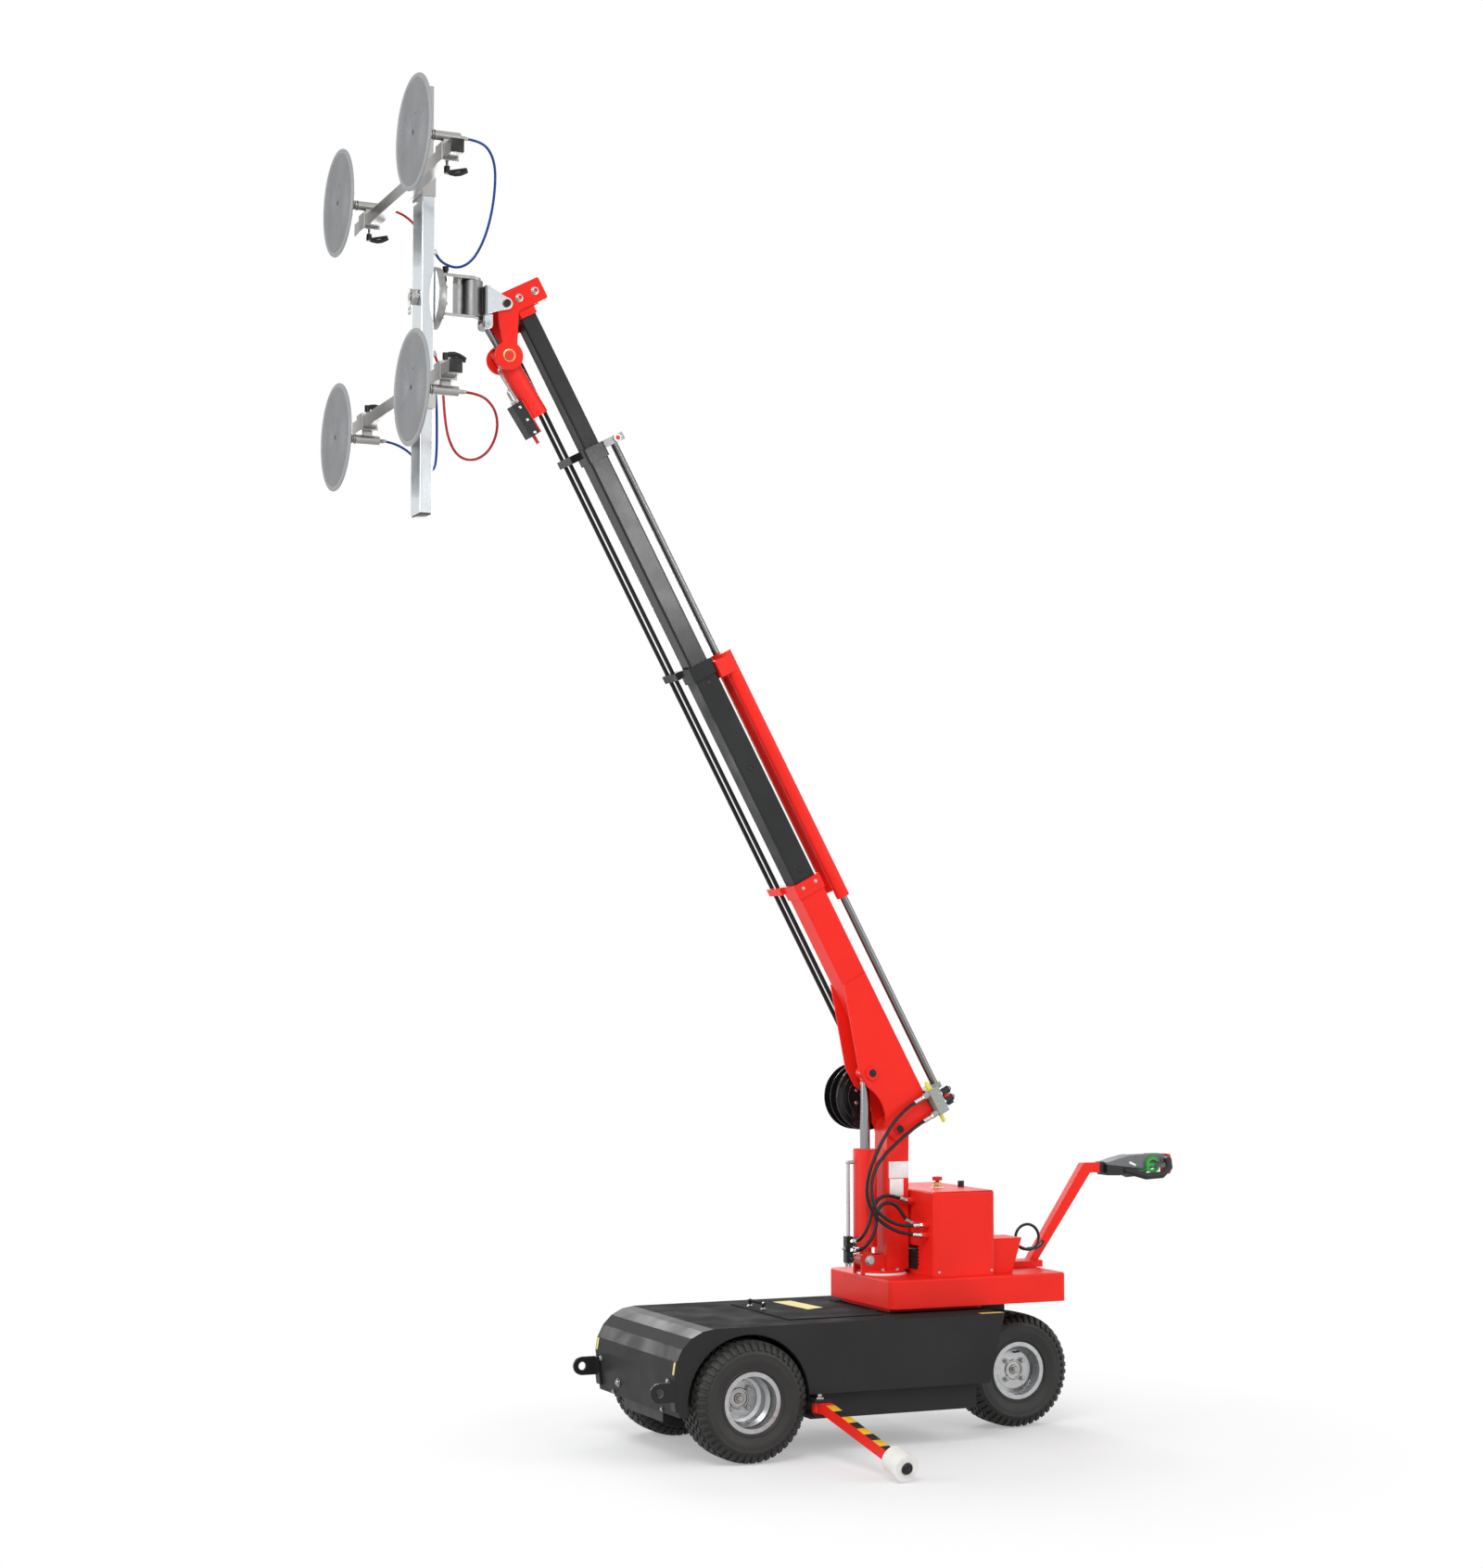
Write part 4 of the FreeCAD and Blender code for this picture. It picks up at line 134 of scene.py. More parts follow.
class Finish(Nodes):
    """A material on one shader, fed by noise in the object's own coordinates."""

    PLANE_SOFT = 0.0006

    def __init__(self, name, edge=None):
        """edge is the radius to which the shading rounds sharp edges."""
        self.mat = bpy.data.materials.new(name)
        self.mat.use_nodes = True
        super().__init__(self.mat.node_tree)
        self.shader = self.tree.nodes["Principled BSDF"]
        self.where = self.node("TexCoord").outputs["Object"]
        self.round = None
        if edge is not None:
            self.round = self.node("Bevel", {"Radius": edge}, samples=4).outputs[0]

    def noise(self, scale, detail=3.0, stretch=(1, 1, 1), where=None):
        spot = self.node("Mapping", {"Vector": where or self.where, "Scale": stretch}).outputs[0]
        return self.node("TexNoise", {"Vector": spot, "Scale": scale, "Detail": detail}).outputs[0]

    def mix(self, share, a, b):
        return self.node("Mix", {0: share, 6: a, 7: b}, data_type="RGBA").outputs[2]

    def mix_value(self, share, a, b):
        return self.node("Mix", {0: share, 2: a, 3: b}, data_type="FLOAT").outputs[0]

    def drift(self, colour, value, low, high, dark, pale):
        """From the colour's dark shade to its pale one, as the value runs from low to high."""
        return self.mix(self.ramp(value, low, high), shade(colour, dark), shade(colour, pale))

    def dot(self, a, b):
        return self.node("VectorMath", {0: a, 1: b}, operation="DOT_PRODUCT").outputs["Value"]

    def past(self, planes):
        """1 where a point lies past every one of the planes, 0 elsewhere."""
        share = 1.0
        for normal, offset in planes:
            mask = self.ramp(self.dot(self.where, normal), offset - self.PLANE_SOFT, offset + self.PLANE_SOFT)
            share = self.math("MULTIPLY", share, mask)
        return share

    def edges(self):
        """1 along worn edges: where the rounded normal leaves the true one."""
        true = self.node("NewGeometry").outputs["Normal"]
        bent = self.math("SUBTRACT", 1.0, self.dot(self.round, true))
        return self.math("MULTIPLY", self.ramp(bent, 0.02, 0.25), self.ramp(self.noise(40.0, 4.0), 0.42, 0.62))

    def bump(self, height, strength, distance, normal=None):
        inputs = {"Strength": strength, "Distance": distance, "Height": height}
        normal = normal or self.round
        if normal is not None:
            inputs["Normal"] = normal
        return self.node("Bump", inputs).outputs[0]

    def done(self, colour, rough, metallic=0.0, normal=None, coat=0.0, specular=0.5):
        values = {"Base Color": colour, "Roughness": rough, "Metallic": metallic, "Coat Weight": coat,
                  "Coat Roughness": 0.08, "IOR": 1.5, "Specular IOR Level": specular}
        if normal is not None:
            values["Normal"] = normal
        for key, value in values.items():
            self.put(self.shader.inputs[key], value)
        return self.mat


def shade(colour, factor):
    return (*(min(c * factor, 1.0) for c in colour), 1.0)


def paint_sockets(f, colour, rough, wear=None, vary=0.08):
    """A sprayed coat: slow drift, fine speckle and paler worn edges."""
    tone = f.drift(colour, f.noise(3.0, 2.0), 0.3, 0.7, 1.0 - vary, 1.0 + vary)
    tone = f.mix(f.ramp(f.noise(90.0, 3.0), 0.45, 0.8, 0.0, 0.16), tone, shade(colour, 1.2))
    if wear is not None:
        tone = f.mix(f.math("MULTIPLY", f.edges(), 0.35), tone, shade(wear, 1.0))
    return tone, f.ramp(f.noise(9.0, 4.0), 0.3, 0.7, rough * 0.85, rough * 1.2)


def polish_sockets(f, colour, rough):
    """Bright plating: even colour, with a slow drift in tone and gloss only."""
    tone = f.drift(colour, f.noise(5.0, 2.0), 0.35, 0.7, 0.96, 1.04)
    return tone, f.ramp(f.noise(8.0, 3.0), 0.3, 0.7, rough * 0.85, rough * 1.2)


def zinc_sockets(f, colour, rough):
    """Zinc plate with a faint spangle and pale blue drift."""
    spangle = f.node("TexVoronoi", {"Vector": f.where, "Scale": 140.0}).outputs["Color"]
    tone = f.drift(colour, spangle, 0.1, 0.9, 0.96, 1.03)
    tone = f.mix(f.ramp(f.noise(3.0, 2.0), 0.35, 0.7, 0.0, 0.3), tone, (0.66, 0.72, 0.77, 1.0))
    return tone, f.ramp(f.noise(10.0, 3.0), 0.3, 0.7, rough * 0.88, rough * 1.14)


def paint(name, colour, rough, coat=0.0, peel=0.05, peel_scale=260.0, wear=None, vary=0.08, specular=0.25):
    f = Finish(name, edge=0.003)
    tone, patch = paint_sockets(f, colour, rough, wear, vary)
    normal = f.bump(f.noise(peel_scale, 2.0), peel, 0.001)
    return f.done(tone, patch, 0.0, normal, coat, specular)


def polished(name, colour, rough):
    f = Finish(name)
    return f.done(*polish_sockets(f, colour, rough), 1.0)


def metal(name, colour, rough, stretch=(1, 1, 1), streak=0.12, relief=0.04):
    f = Finish(name, edge=0.0016)
    grain = f.noise(60.0, 5.0, stretch)
    tone = f.drift(colour, grain, 0.3, 0.7, 1.0 - streak, 1.0 + streak)
    cloud = f.ramp(f.noise(6.0, 3.0), 0.4, 0.7, 0.0, 0.06)
    patch = f.math("ADD", f.ramp(grain, 0.3, 0.7, rough * 0.75, rough * 1.3), cloud)
    return f.done(tone, patch, 1.0, f.bump(grain, relief, 0.0006))


def rubber(name, colour, rough, scale=420.0, vary=0.15, relief=0.12, specular=0.25):
    f = Finish(name)
    grain = f.noise(scale, 4.0)
    tone = f.drift(colour, f.noise(12.0, 4.0), 0.3, 0.75, 1.0 - vary, 1.0 + vary)
    tone = f.mix(f.ramp(grain, 0.55, 0.8, 0.0, 0.25), tone, shade(colour, 1.6))
    patch = f.ramp(f.noise(25.0, 3.0), 0.3, 0.7, rough * 0.88, rough * 1.1)
    return f.done(tone, patch, 0.0, f.bump(grain, relief, 0.0008), specular=specular)


def plastic(name, colour, rough):
    f = Finish(name)
    grain = f.noise(900.0, 2.0)
    tone = f.drift(colour, f.noise(18.0, 3.0), 0.3, 0.7, 0.92, 1.08)
    patch = f.ramp(grain, 0.3, 0.7, rough * 0.85, rough * 1.15)
    return f.done(tone, patch, 0.0, f.bump(grain, 0.06, 0.0004), specular=0.3)


RED = (0.8, 0.02, 0.012)
DARK = (0.031, 0.0312, 0.0318)
# Grey of the hood top and hatch: the shell's grey painted darker, as painted shade for the faces the lamps light from
# above
TOP_SHADE_GREY = (0.0225, 0.0225, 0.0228)
WORN = (0.06, 0.06, 0.062)
BLACK = (0.01, 0.01, 0.011)
SOOT = (0.012, 0.012, 0.013)
MOULDED = (0.014, 0.014, 0.015)
ZINC = (0.64, 0.67, 0.69)
BRIGHT = (0.3, 0.3, 0.31)
RAM_CHROME = (0.17, 0.17, 0.173)

red_paint = paint("red_gloss", RED, 0.36, coat=0.04, vary=0.05, specular=0.14)
# The hatch's grey is painted darker as shade, like the shell's top
hatch_paint = paint("hatch_matt", TOP_SHADE_GREY, 0.75, peel_scale=420.0, wear=WORN, vary=0.1, specular=0.03)
frame_paint = paint("frame_black", SOOT, 0.45, peel=0.1, peel_scale=420.0, wear=(0.04, 0.04, 0.04))
gloss_black = paint("gloss_black", (0.008, 0.008, 0.009), 0.2, coat=0.2, peel=0.03, vary=0.2)
satin_black = paint("boom_satin_black", (0.013, 0.013, 0.014), 0.32, peel=0.06, vary=0.15)
mid_grey = paint("boom_matt_grey", (0.021, 0.0215, 0.022), 0.5, peel=0.08, vary=0.12, specular=0.15)
rim_zinc = metal("rim_zinc", (0.44, 0.445, 0.45), 0.3, streak=0.08, relief=0.06)
chrome = polished("chrome_rod", BRIGHT, 0.09)
zinc_bolt = metal("zinc_bolt", (0.42, 0.415, 0.4), 0.24, streak=0.1)
stainless = metal("stainless_brushed", (0.36, 0.354, 0.343), 0.33, (60, 1, 60), 0.14, 0.05)
cast = metal("cast_alloy", (0.33, 0.33, 0.325), 0.32, relief=0.15)
brass = polished("brass", (0.62, 0.42, 0.17), 0.22)
tyre_black = rubber("tyre_rubber", (0.022, 0.0212, 0.0202), 0.55, specular=0.35)
hose_black = rubber("hose_rubber", (0.01, 0.01, 0.01), 0.42, 700.0, 0.1, 0.06)
blue_hose = rubber("hose_blue", (0.005, 0.045, 0.26), 0.34, 700.0, 0.12, 0.03)
red_hose = rubber("hose_red", (0.38, 0.008, 0.014), 0.34, 700.0, 0.12, 0.03)
black_plastic = plastic("black_plastic", MOULDED, 0.42)
red_plastic = plastic("red_plastic", (0.6, 0.02, 0.015), 0.35)
green_plastic = plastic("green_plastic", (0.03, 0.34, 0.05), 0.38)
yellow_plastic = plastic("yellow_plastic", (0.8, 0.72, 0.05), 0.4)
stripe_yellow = plastic("stripe_yellow", (0.82, 0.46, 0.03), 0.4)
nylon = plastic("nylon_white", (0.78, 0.77, 0.73), 0.5)
white_label = plastic("white_label", (0.8, 0.8, 0.79), 0.45)
yellow_label = plastic("yellow_label", (0.72, 0.6, 0.16), 0.45)
battery_case = plastic("battery_case", (0.05, 0.05, 0.055), 0.5)

# The CAD nodes: first those in one material, then those whose finish changes at planes fixed to the part

CUPS = (("upper_left", 0.5025, 4.8723, 1), ("upper_right", -0.5025, 4.8723, 1),
        ("lower_left", 0.5025, 3.9343, -1), ("lower_right", -0.5025, 3.9343, -1))


def dress(mat, names):
    for name in names.split():
        materials = nodes[name].data.materials
        materials.clear()
        materials.append(mat)


dress(red_paint, "deck power_cover column boom_base telescope_rams tiller head_bracket")
dress(hatch_paint, "hood_hatch")
dress(frame_paint, "chassis_frame steer_fork nose_hardware power_unit")
dress(gloss_black, "hose_reel")
dress(battery_case, "battery_pack")
dress(mid_grey, "boom_mid")
dress(satin_black, "boom_tip")
dress(chrome, "tilt_rod")
dress(rim_zinc, "rim_front_left rim_front_right rim_rear")
dress(stainless, "upper_arm lower_arm")
dress(cast, "yaw_frame")
dress(black_plastic, "index_knob key_switch")
dress(red_plastic, "estop_button belly_button")
dress(green_plastic, "throttle_lever")
dress(nylon, "roller_left roller_right")
for key, y, z, up in CUPS:
    dress(stainless, "cup_carrier_" + key)
    dress(black_plastic, "clamp_lever_" + key)

SOCKETS = {"paint": paint_sockets, "metal": polish_sockets, "zinc": zinc_sockets}


def zone_dress(node, base, zones, specular=0.3):
    """One shader from a base coat and zones over it: (planes, kind, colour, rough)."""
    f = Finish(node + "_zones", edge=0.002)
    tone, rough = paint_sockets(f, *base)
    metallic = 0.0
    for planes, kind, *look in zones:
        share = f.past(planes)
        zone_tone, zone_rough = SOCKETS[kind](f, *look)
        tone = f.mix(share, tone, zone_tone)
        rough = f.mix_value(share, rough, zone_rough)
        metallic = f.mix_value(share, metallic, 0.0 if kind == "paint" else 1.0)
    normal = f.bump(f.noise(300.0, 2.0), 0.04, 0.0008)
    dress(f.done(tone, rough, metallic, normal, specular=specular), node)


def plane_along(direction, point):
    d = direction.normalized()
    return tuple(d), d.dot(point)


RED_COAT = (RED, 0.36, None, 0.05)

# The shell: satin sides and nose, a duller top whose grey is painted darker than the sides, as painted shade for faces
# lit from above
HOOD_TOP = plane_along(Z, Z * 0.5042)
zone_dress("chassis_shell", (DARK, 0.38, WORN, 0.1), [([HOOD_TOP], "paint", TOP_SHADE_GREY, 0.75)], 0.03)

# Rods of the boom's rams, the lug of the upper one and the lift rod
past_ram = plane_along(boom_n, on_boom(0, 0, 0.2105))
past_tube = plane_along(boom_n, on_boom(0, 0, 0.1625))
lug_start = plane_along(boom_u, on_boom(2.93, 0, 0))
shaft_start = plane_along(boom_u, on_boom(0.0762, 0, 0))
zone_dress("boom_inner", (SOOT, 0.17), [
    ([past_ram], "metal", RAM_CHROME, 0.24),
    ([past_tube, lug_start], "metal", (0.22, 0.22, 0.225), 0.34),
])
zone_dress("boom_valve", ((0.3, 0.335, 0.305), 0.45), [([shaft_start], "metal", RAM_CHROME, 0.24)])
zone_dress("lift_rod", RED_COAT, [([plane_along(-Z, Z * 1.395)], "metal", BRIGHT, 0.09)])

# Turntable and yaw drum are darker than the plated upright and lugs
for node, dark_part, colour, rough in (
    ("beam_main", plane_along(-X, X * 1.5163), (0.2, 0.2, 0.205), 0.12),
    ("tilt_yoke", plane_along(X, X * 1.3044), (0.2, 0.2, 0.202), 0.42),
):
    zone_dress(node, ((0.5, 0.5, 0.5), 0.3), [([], "zinc", ZINC, 0.16), ([dark_part], "metal", colour, rough)])

# The lift cylinder's front carries its valve block below and a bright pipe above
pipe_front = plane_along(X, m(0.0206, 0, 0))
valve_top = plane_along(-Z, Z * 0.787)
zone_dress("lift_barrel", RED_COAT, [
    ([pipe_front], "metal", (0.45, 0.46, 0.47), 0.26),
    ([pipe_front, valve_top], "paint", BLACK, 0.45),
])

# The tilt cylinder: its valve block below and behind the trunnion, with a red nozzle
HEAD_ALONG, HEAD_RISE = 3.596, 0.0445
tilt_trunnion = on_boom(3.414, 0, -0.037)
tilt_link = on_boom(HEAD_ALONG, 0, HEAD_RISE) + V((0.064, 0, -0.079))
tilt_run = (tilt_link - tilt_trunnion).normalized()
tilt_down = V((tilt_run.z, 0, -tilt_run.x))


def on_tilt(along, y, out):
    """A point along the tilt cylinder from its trunnion, out on its valve side."""
    return tilt_trunnion + tilt_run * along + Y * y + tilt_down * out


valve_side = plane_along(tilt_down, on_tilt(0, 0, 0.0405))
valve_back = plane_along(-tilt_run, on_tilt(-0.1, 0, 0))
nozzle_back = plane_along(-tilt_run, on_tilt(-0.3105, 0, 0))
zone_dress("tilt_barrel", RED_COAT, [
    ([valve_side, valve_back], "paint", BLACK, 0.45),
    ([valve_side, nozzle_back], "paint", (0.55, 0.03, 0.03), 0.4),
])

# The tiller head: grey upper shell, black underside and hand loops
HEAD_X, HEAD_Z = -1.128, 1.028
shell_low = plane_along(V((-0.12, 0, 1.0)), m(HEAD_X - 0.02, 0, HEAD_Z + 0.01))
inside = [plane_along(Y * side, Y * side * -0.052) for side in SIDES]
zone_dress("tiller_head", (MOULDED, 0.42), [([shell_low, *inside], "paint", (0.15, 0.155, 0.16), 0.42)])

# Piece builder


class Kit:
    """Gathers turned, square and bent shapes into one mesh piece."""

    def __init__(self):
        self.bm = bmesh.new()

    def lathe(self, start, axis, profile, steps=28, closed=False):
        """A solid of revolution: (along, radius) pairs from start along axis."""
        axis = axis.normalized()
        side = axis.orthogonal().normalized()
        up = axis.cross(side)
        rings = []
        for along, radius in profile:
            centre = V(start) + axis * along
            ring = [centre]
            if radius > 1e-6:
                turns = [2 * pi * k / steps for k in range(steps)]
                ring = [centre + (side * cos(a) + up * sin(a)) * radius for a in turns]
            rings.append([self.bm.verts.new(p) for p in ring])
        pairs = list(zip(rings, rings[1:]))
        if closed:
            pairs.append((rings[-1], rings[0]))
        for low, high in pairs:
            for k in range(steps):
                j = (k + 1) % steps
                if len(low) == 1:
                    self.bm.faces.new((low[0], high[j], high[k]))
                elif len(high) == 1:
                    self.bm.faces.new((low[k], low[j], high[0]))
                else:
                    self.bm.faces.new((low[k], low[j], high[j], high[k]))
        return self

    def pair(self, spot, profile, steps=28, closed=False):
        """The same turned shape on both sides of the machine, facing outward."""
        for side in SIDES:
            self.lathe((spot.x, side * spot.y, spot.z), Y * side, profile, steps, closed)
        return self

    def rod(self, a, b, radius, chamfer=0.0008, steps=24):
        long = (b - a).length
        c = min(chamfer, radius / 2, long / 3)
        profile = [(0, 0), (0, radius - c), (c, radius), (long - c, radius), (long, radius - c), (long, 0)]
        return self.lathe(a, b - a, profile, steps)

    def stack(self, base, axis, *rods):
        """Rods on one axis from base: (from, to, radius, chamfer, steps)."""
        for low, high, *shape in rods:
            self.rod(base + axis * low, base + axis * high, *shape)
        return self

    def bolt(self, base, axis, radius, height):
        """A hexagon head with its washer, sunk a little into its seat."""
        sunk = 0.0005
        base = base - axis * sunk
        seat = height * 0.28
        return self.stack(base, axis, (0, seat + sunk, radius * 1.35, 0.0004),
                          (seat, seat + height, radius, radius * 0.14, 6))

    def slab(self, centre, size, round_r=0.002, axes=None, segments=2):
        turn = (axes or Matrix.Identity(3)).to_4x4()
        place = Matrix.Translation(V(centre)) @ turn @ Matrix.Diagonal((*size, 1.0))
        made = bmesh.ops.create_cube(self.bm, size=1.0, matrix=place)
        edges = {e for v in made["verts"] for e in v.link_edges}
        bmesh.ops.bevel(self.bm, geom=list(edges), offset=round_r, segments=segments, affect="EDGES", profile=0.5)
        return self

    def skin(self, rings):
        """A closed body over rings of points."""
        rows = [[self.bm.verts.new(p) for p in ring] for ring in rings]
        for low, high in zip(rows, rows[1:]):
            for k in range(len(low)):
                j = (k + 1) % len(low)
                self.bm.faces.new((low[k], low[j], high[j], high[k]))
        self.bm.faces.new(list(reversed(rows[0])))
        self.bm.faces.new(rows[-1])
        return self

    def tube(self, path, radius, steps=14):
        """A round tube through the points, its rings turned as little as possible from one to the next."""
        path = [V(p) for p in path]
        rings = []
        side = None
        for k, point in enumerate(path):
            ahead = (path[min(k + 1, len(path) - 1)] - path[max(k - 1, 0)]).normalized()
            if side is None:
                side = ahead.orthogonal().normalized()
            side = (side - ahead * side.dot(ahead)).normalized()
            up = ahead.cross(side)
            turns = [2 * pi * j / steps for j in range(steps)]
            rings.append([point + (side * cos(a) + up * sin(a)) * radius for a in turns])
        return self.skin(rings)

    def done(self, name, body, mat=zinc_bolt, sharp=35.0):
        """The finished piece on its body, plated if no material is named; a hose on one body and the copies of a
        master get their body later.
        """
        bmesh.ops.recalc_face_normals(self.bm, faces=self.bm.faces)
        mesh = bpy.data.meshes.new(name)
        self.bm.to_mesh(mesh)
        self.bm.free()
        mesh.materials.append(mat)
        mesh.shade_smooth()
        mesh.set_sharp_from_angle(angle=radians(sharp))
        o = add(name, mesh)
        if body is not None:
            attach(o, body)
        return o


def spaced(count):
    """Angles evenly round a circle, starting half a step in."""
    return [pi * (2 * k + 1) / count for k in range(count)]


# Hoses and cable: each on one smooth spline over its route, with fittings at the ends


def route_line(points):
    """The points of the route's smooth spline."""
    data = bpy.data.curves.new("route", "CURVE")
    data.dimensions = "3D"
    data.resolution_u = 10
    spline = data.splines.new("NURBS")
    spline.points.add(len(points) - 1)
    for control, point in zip(spline.points, points):
        control.co = (*point, 1.0)
    spline.order_u = 3
    spline.use_endpoint_u = True
    curve = add("route", data)
    bpy.context.view_layer.update()
    mesh = bpy.data.meshes.new_from_object(curve)
    line = [v.co.copy() for v in mesh.vertices]
    bpy.data.meshes.remove(mesh)
    bpy.data.objects.remove(curve)
    return line


def hose_piece(name, line, diameter, mat, bodies, node):
    """A hose along a line, on one body or from one to another that a joint may move away."""
    o = Kit().tube(line, diameter / 2).done(name, None, mat)
    if len(bodies) == 2:
        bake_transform(o)
    else:
        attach(o, bodies[0])
    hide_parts(node)


def ferrule(kit, end, inside, radius, crimps):
    """A hexagon nut on the port and a crimped sleeve over the hose, which runs on to inside."""
    end = V(end)
    inward = (V(inside) - end).normalized()
    nut = end - inward * 0.004
    kit.stack(nut, inward, (0, 0.013, radius * 1.62, 0.0014, 6))
    sleeve = [(0, 0), (0, radius * 1.15), (0.001, radius * 1.3)]
    for k in range(crimps):
        at = 0.003 + 0.004 * k
        sleeve += [(at, radius * 1.42), (at + 0.0022, radius * 1.42), (at + 0.003, radius * 1.32)]
    long = 0.007 + 0.004 * crimps
    sleeve += [(long - 0.0015, radius * 1.38), (long, radius * 1.12), (long, 0)]
    kit.lathe(nut + inward * 0.012, inward, sleeve, 20)


FEED_ROUTES = (
    mm((-546.3, 85.9, 1333.8), (-503.6, 87.7, 1312.8), (-451.6, 91.3, 1279.2), (-397.9, 96.7, 1227.9),
       (-350.5, 100.4, 1159.9), (-312.6, 104.7, 1093.9), (-286.4, 107.9, 1029), (-275.8, 111.6, 968.9),
       (-284.7, 119.7, 912), (-314.6, 137.2, 860.1), (-360.7, 160.1, 824), (-409.9, 182.9, 804.1),
       (-473.5, 200, 798)),
    mm((-586.3, 85.9, 1260.4), (-538.6, 87.4, 1234.9), (-481.9, 93.8, 1202.2), (-418.7, 102.8, 1158.1),
       (-358.8, 111.5, 1111.1), (-315.7, 118.9, 1064.9), (-293.6, 124.7, 1010.9), (-288.8, 132, 957.9),
       (-297.6, 143, 907), (-329.8, 159.8, 867.8), (-372.6, 177.2, 843.8), (-415.5, 192.1, 834.8),
       (-474.4, 200, 838)),
)
LIFT_ROUTES = (
    mm((-251.1, 44.1, 768.7), (-252.8, 68.9, 771), (-260.8, 89.9, 783.1), (-276.6, 102.1, 808.1),
       (-292.8, 103, 842.9), (-306.8, 96.9, 879.9), (-322.6, 91.1, 913.9), (-345.7, 86.1, 939), (-376.8, 83, 949.1),
       (-410.8, 81.1, 944.9), (-444.8, 79.9, 933.9), (-473.3, 80, 925)),
    mm((-251.1, 43.8, 734), (-252.8, 71.9, 735), (-260.6, 96.9, 742), (-278.7, 114.9, 761.1), (-299.8, 119.9, 793),
       (-315.7, 116, 832), (-323.8, 107.9, 868.1), (-332.7, 103, 896.1), (-351.6, 100.1, 916), (-377.6, 101.1, 923),
       (-403.7, 105.9, 916.1), (-422.7, 112, 896.9), (-435.8, 119, 870.9), (-452.8, 126.9, 849.1),
       (-471.8, 130, 838)),
)
CABLE_ROUTE = mm((-919.5, 112.5, 747.9), (-951.9, 109.6, 735.2), (-985.3, 106.1, 720.5), (-1010.6, 103.7, 711.4),
                 (-1037.1, 101.1, 715.9), (-1057.7, 98.7, 733.3), (-1066.8, 96.4, 758.6), (-1062.1, 94.3, 785.3),
                 (-1045, 92.3, 805.9), (-1019.7, 90.4, 815.2), (-993.3, 88.4, 810.4), (-972.7, 86.4, 793.3),
                 (-963.4, 84.4, 767.8), (-968.1, 82, 741.3), (-985.3, 79.7, 720.5), (-1010.6, 77.3, 711.2),
                 (-1037, 74.7, 715.9), (-1074.1, 66.1, 713), (-1104.6, 48.3, 720.1), (-1127.9, 23.6, 734.4))
VACUUM_ROUTES = (
    ("upper_left", "upper_arm", blue_hose,
     mm((1546.1, 502.5, 4872.3), (1501.3, 500.1, 4872.1), (1442.8, 469.8, 4862.3), (1395, 411.5, 4820.2),
        (1366.6, 328.7, 4752), (1356.5, 254.4, 4667.7), (1362.5, 186, 4589.3), (1384.8, 125.4, 4527.2),
        (1424.9, 79.1, 4503.4), (1471, 53.4, 4519.4), (1501.3, 45, 4547.4), (1510.7, 43.2, 4571.5))),
    ("upper_right", "upper_arm", red_hose,
     mm((1545.8, -502.5, 4872.3), (1507.3, -500.1, 4868.2), (1465.2, -461.9, 4836.5), (1443, -399.6, 4779.8),
        (1438.8, -328.6, 4711.6), (1445.1, -260.5, 4645.7), (1457.1, -188.1, 4593.7), (1473.5, -117.4, 4569.4),
        (1495.4, -63.4, 4567.7), (1511.5, -43.2, 4571.5))),
    ("lower_left", "lower_arm", red_hose,
     mm((1546.1, 502.5, 3934.3), (1502, 500, 3934.2), (1437.3, 470.8, 3923), (1379.8, 409.9, 3881.8),
        (1354.4, 333, 3821.1), (1366, 254.5, 3764), (1403.6, 181.9, 3744.8), (1440.8, 119.1, 3774.7),
        (1462.7, 80.1, 3844.4), (1470.4, 58.4, 3933.4), (1474.1, 49, 4032.1), (1485.9, 45.3, 4121.1),
        (1510.8, 43.2, 4180.3))),
    ("lower_right", "lower_arm", blue_hose,
     mm((1545.8, -502.5, 3934.3), (1507.2, -500, 3930.5), (1464.8, -462.3, 3901.2), (1442.5, -396.9, 3853.1),
        (1430.5, -319.6, 3805.6), (1430.4, -238.4, 3776.7), (1438.6, -157.4, 3776.2), (1452.5, -94.7, 3822.6),
        (1463.1, -60, 3905.2), (1468.9, -47.5, 4005), (1481, -44.1, 4108.2), (1510.8, -43.2, 4180.3))),
)
HOSE_D, VACUUM_D, CABLE_D = 0.014, 0.01, 0.0115

NEAR_CRIMPS = 5
for label, routes, body, crimps in (("feed", FEED_ROUTES, "boom_base", 8), ("lift", LIFT_ROUTES, "lift_barrel", 4)):
    far_kit, near_kit = Kit(), Kit()
    for k, route in enumerate(routes):
        name = "%s_hose_%d" % (label, k)
        hose_piece(name, route_line(route), HOSE_D, hose_black, (body, "chassis"), "hydraulic_hoses")
        ferrule(far_kit, route[0], route[1], HOSE_D / 2, crimps)
        ferrule(near_kit, route[-1], route[-2], HOSE_D / 2, NEAR_CRIMPS)
    far_kit.done(label + "_fittings_far", body)
    near_kit.done(label + "_fittings_near", "chassis")

line = route_line(CABLE_ROUTE)
hose_piece("tiller_lead", line, CABLE_D, hose_black, ("chassis", "steering"), "tiller_cable")

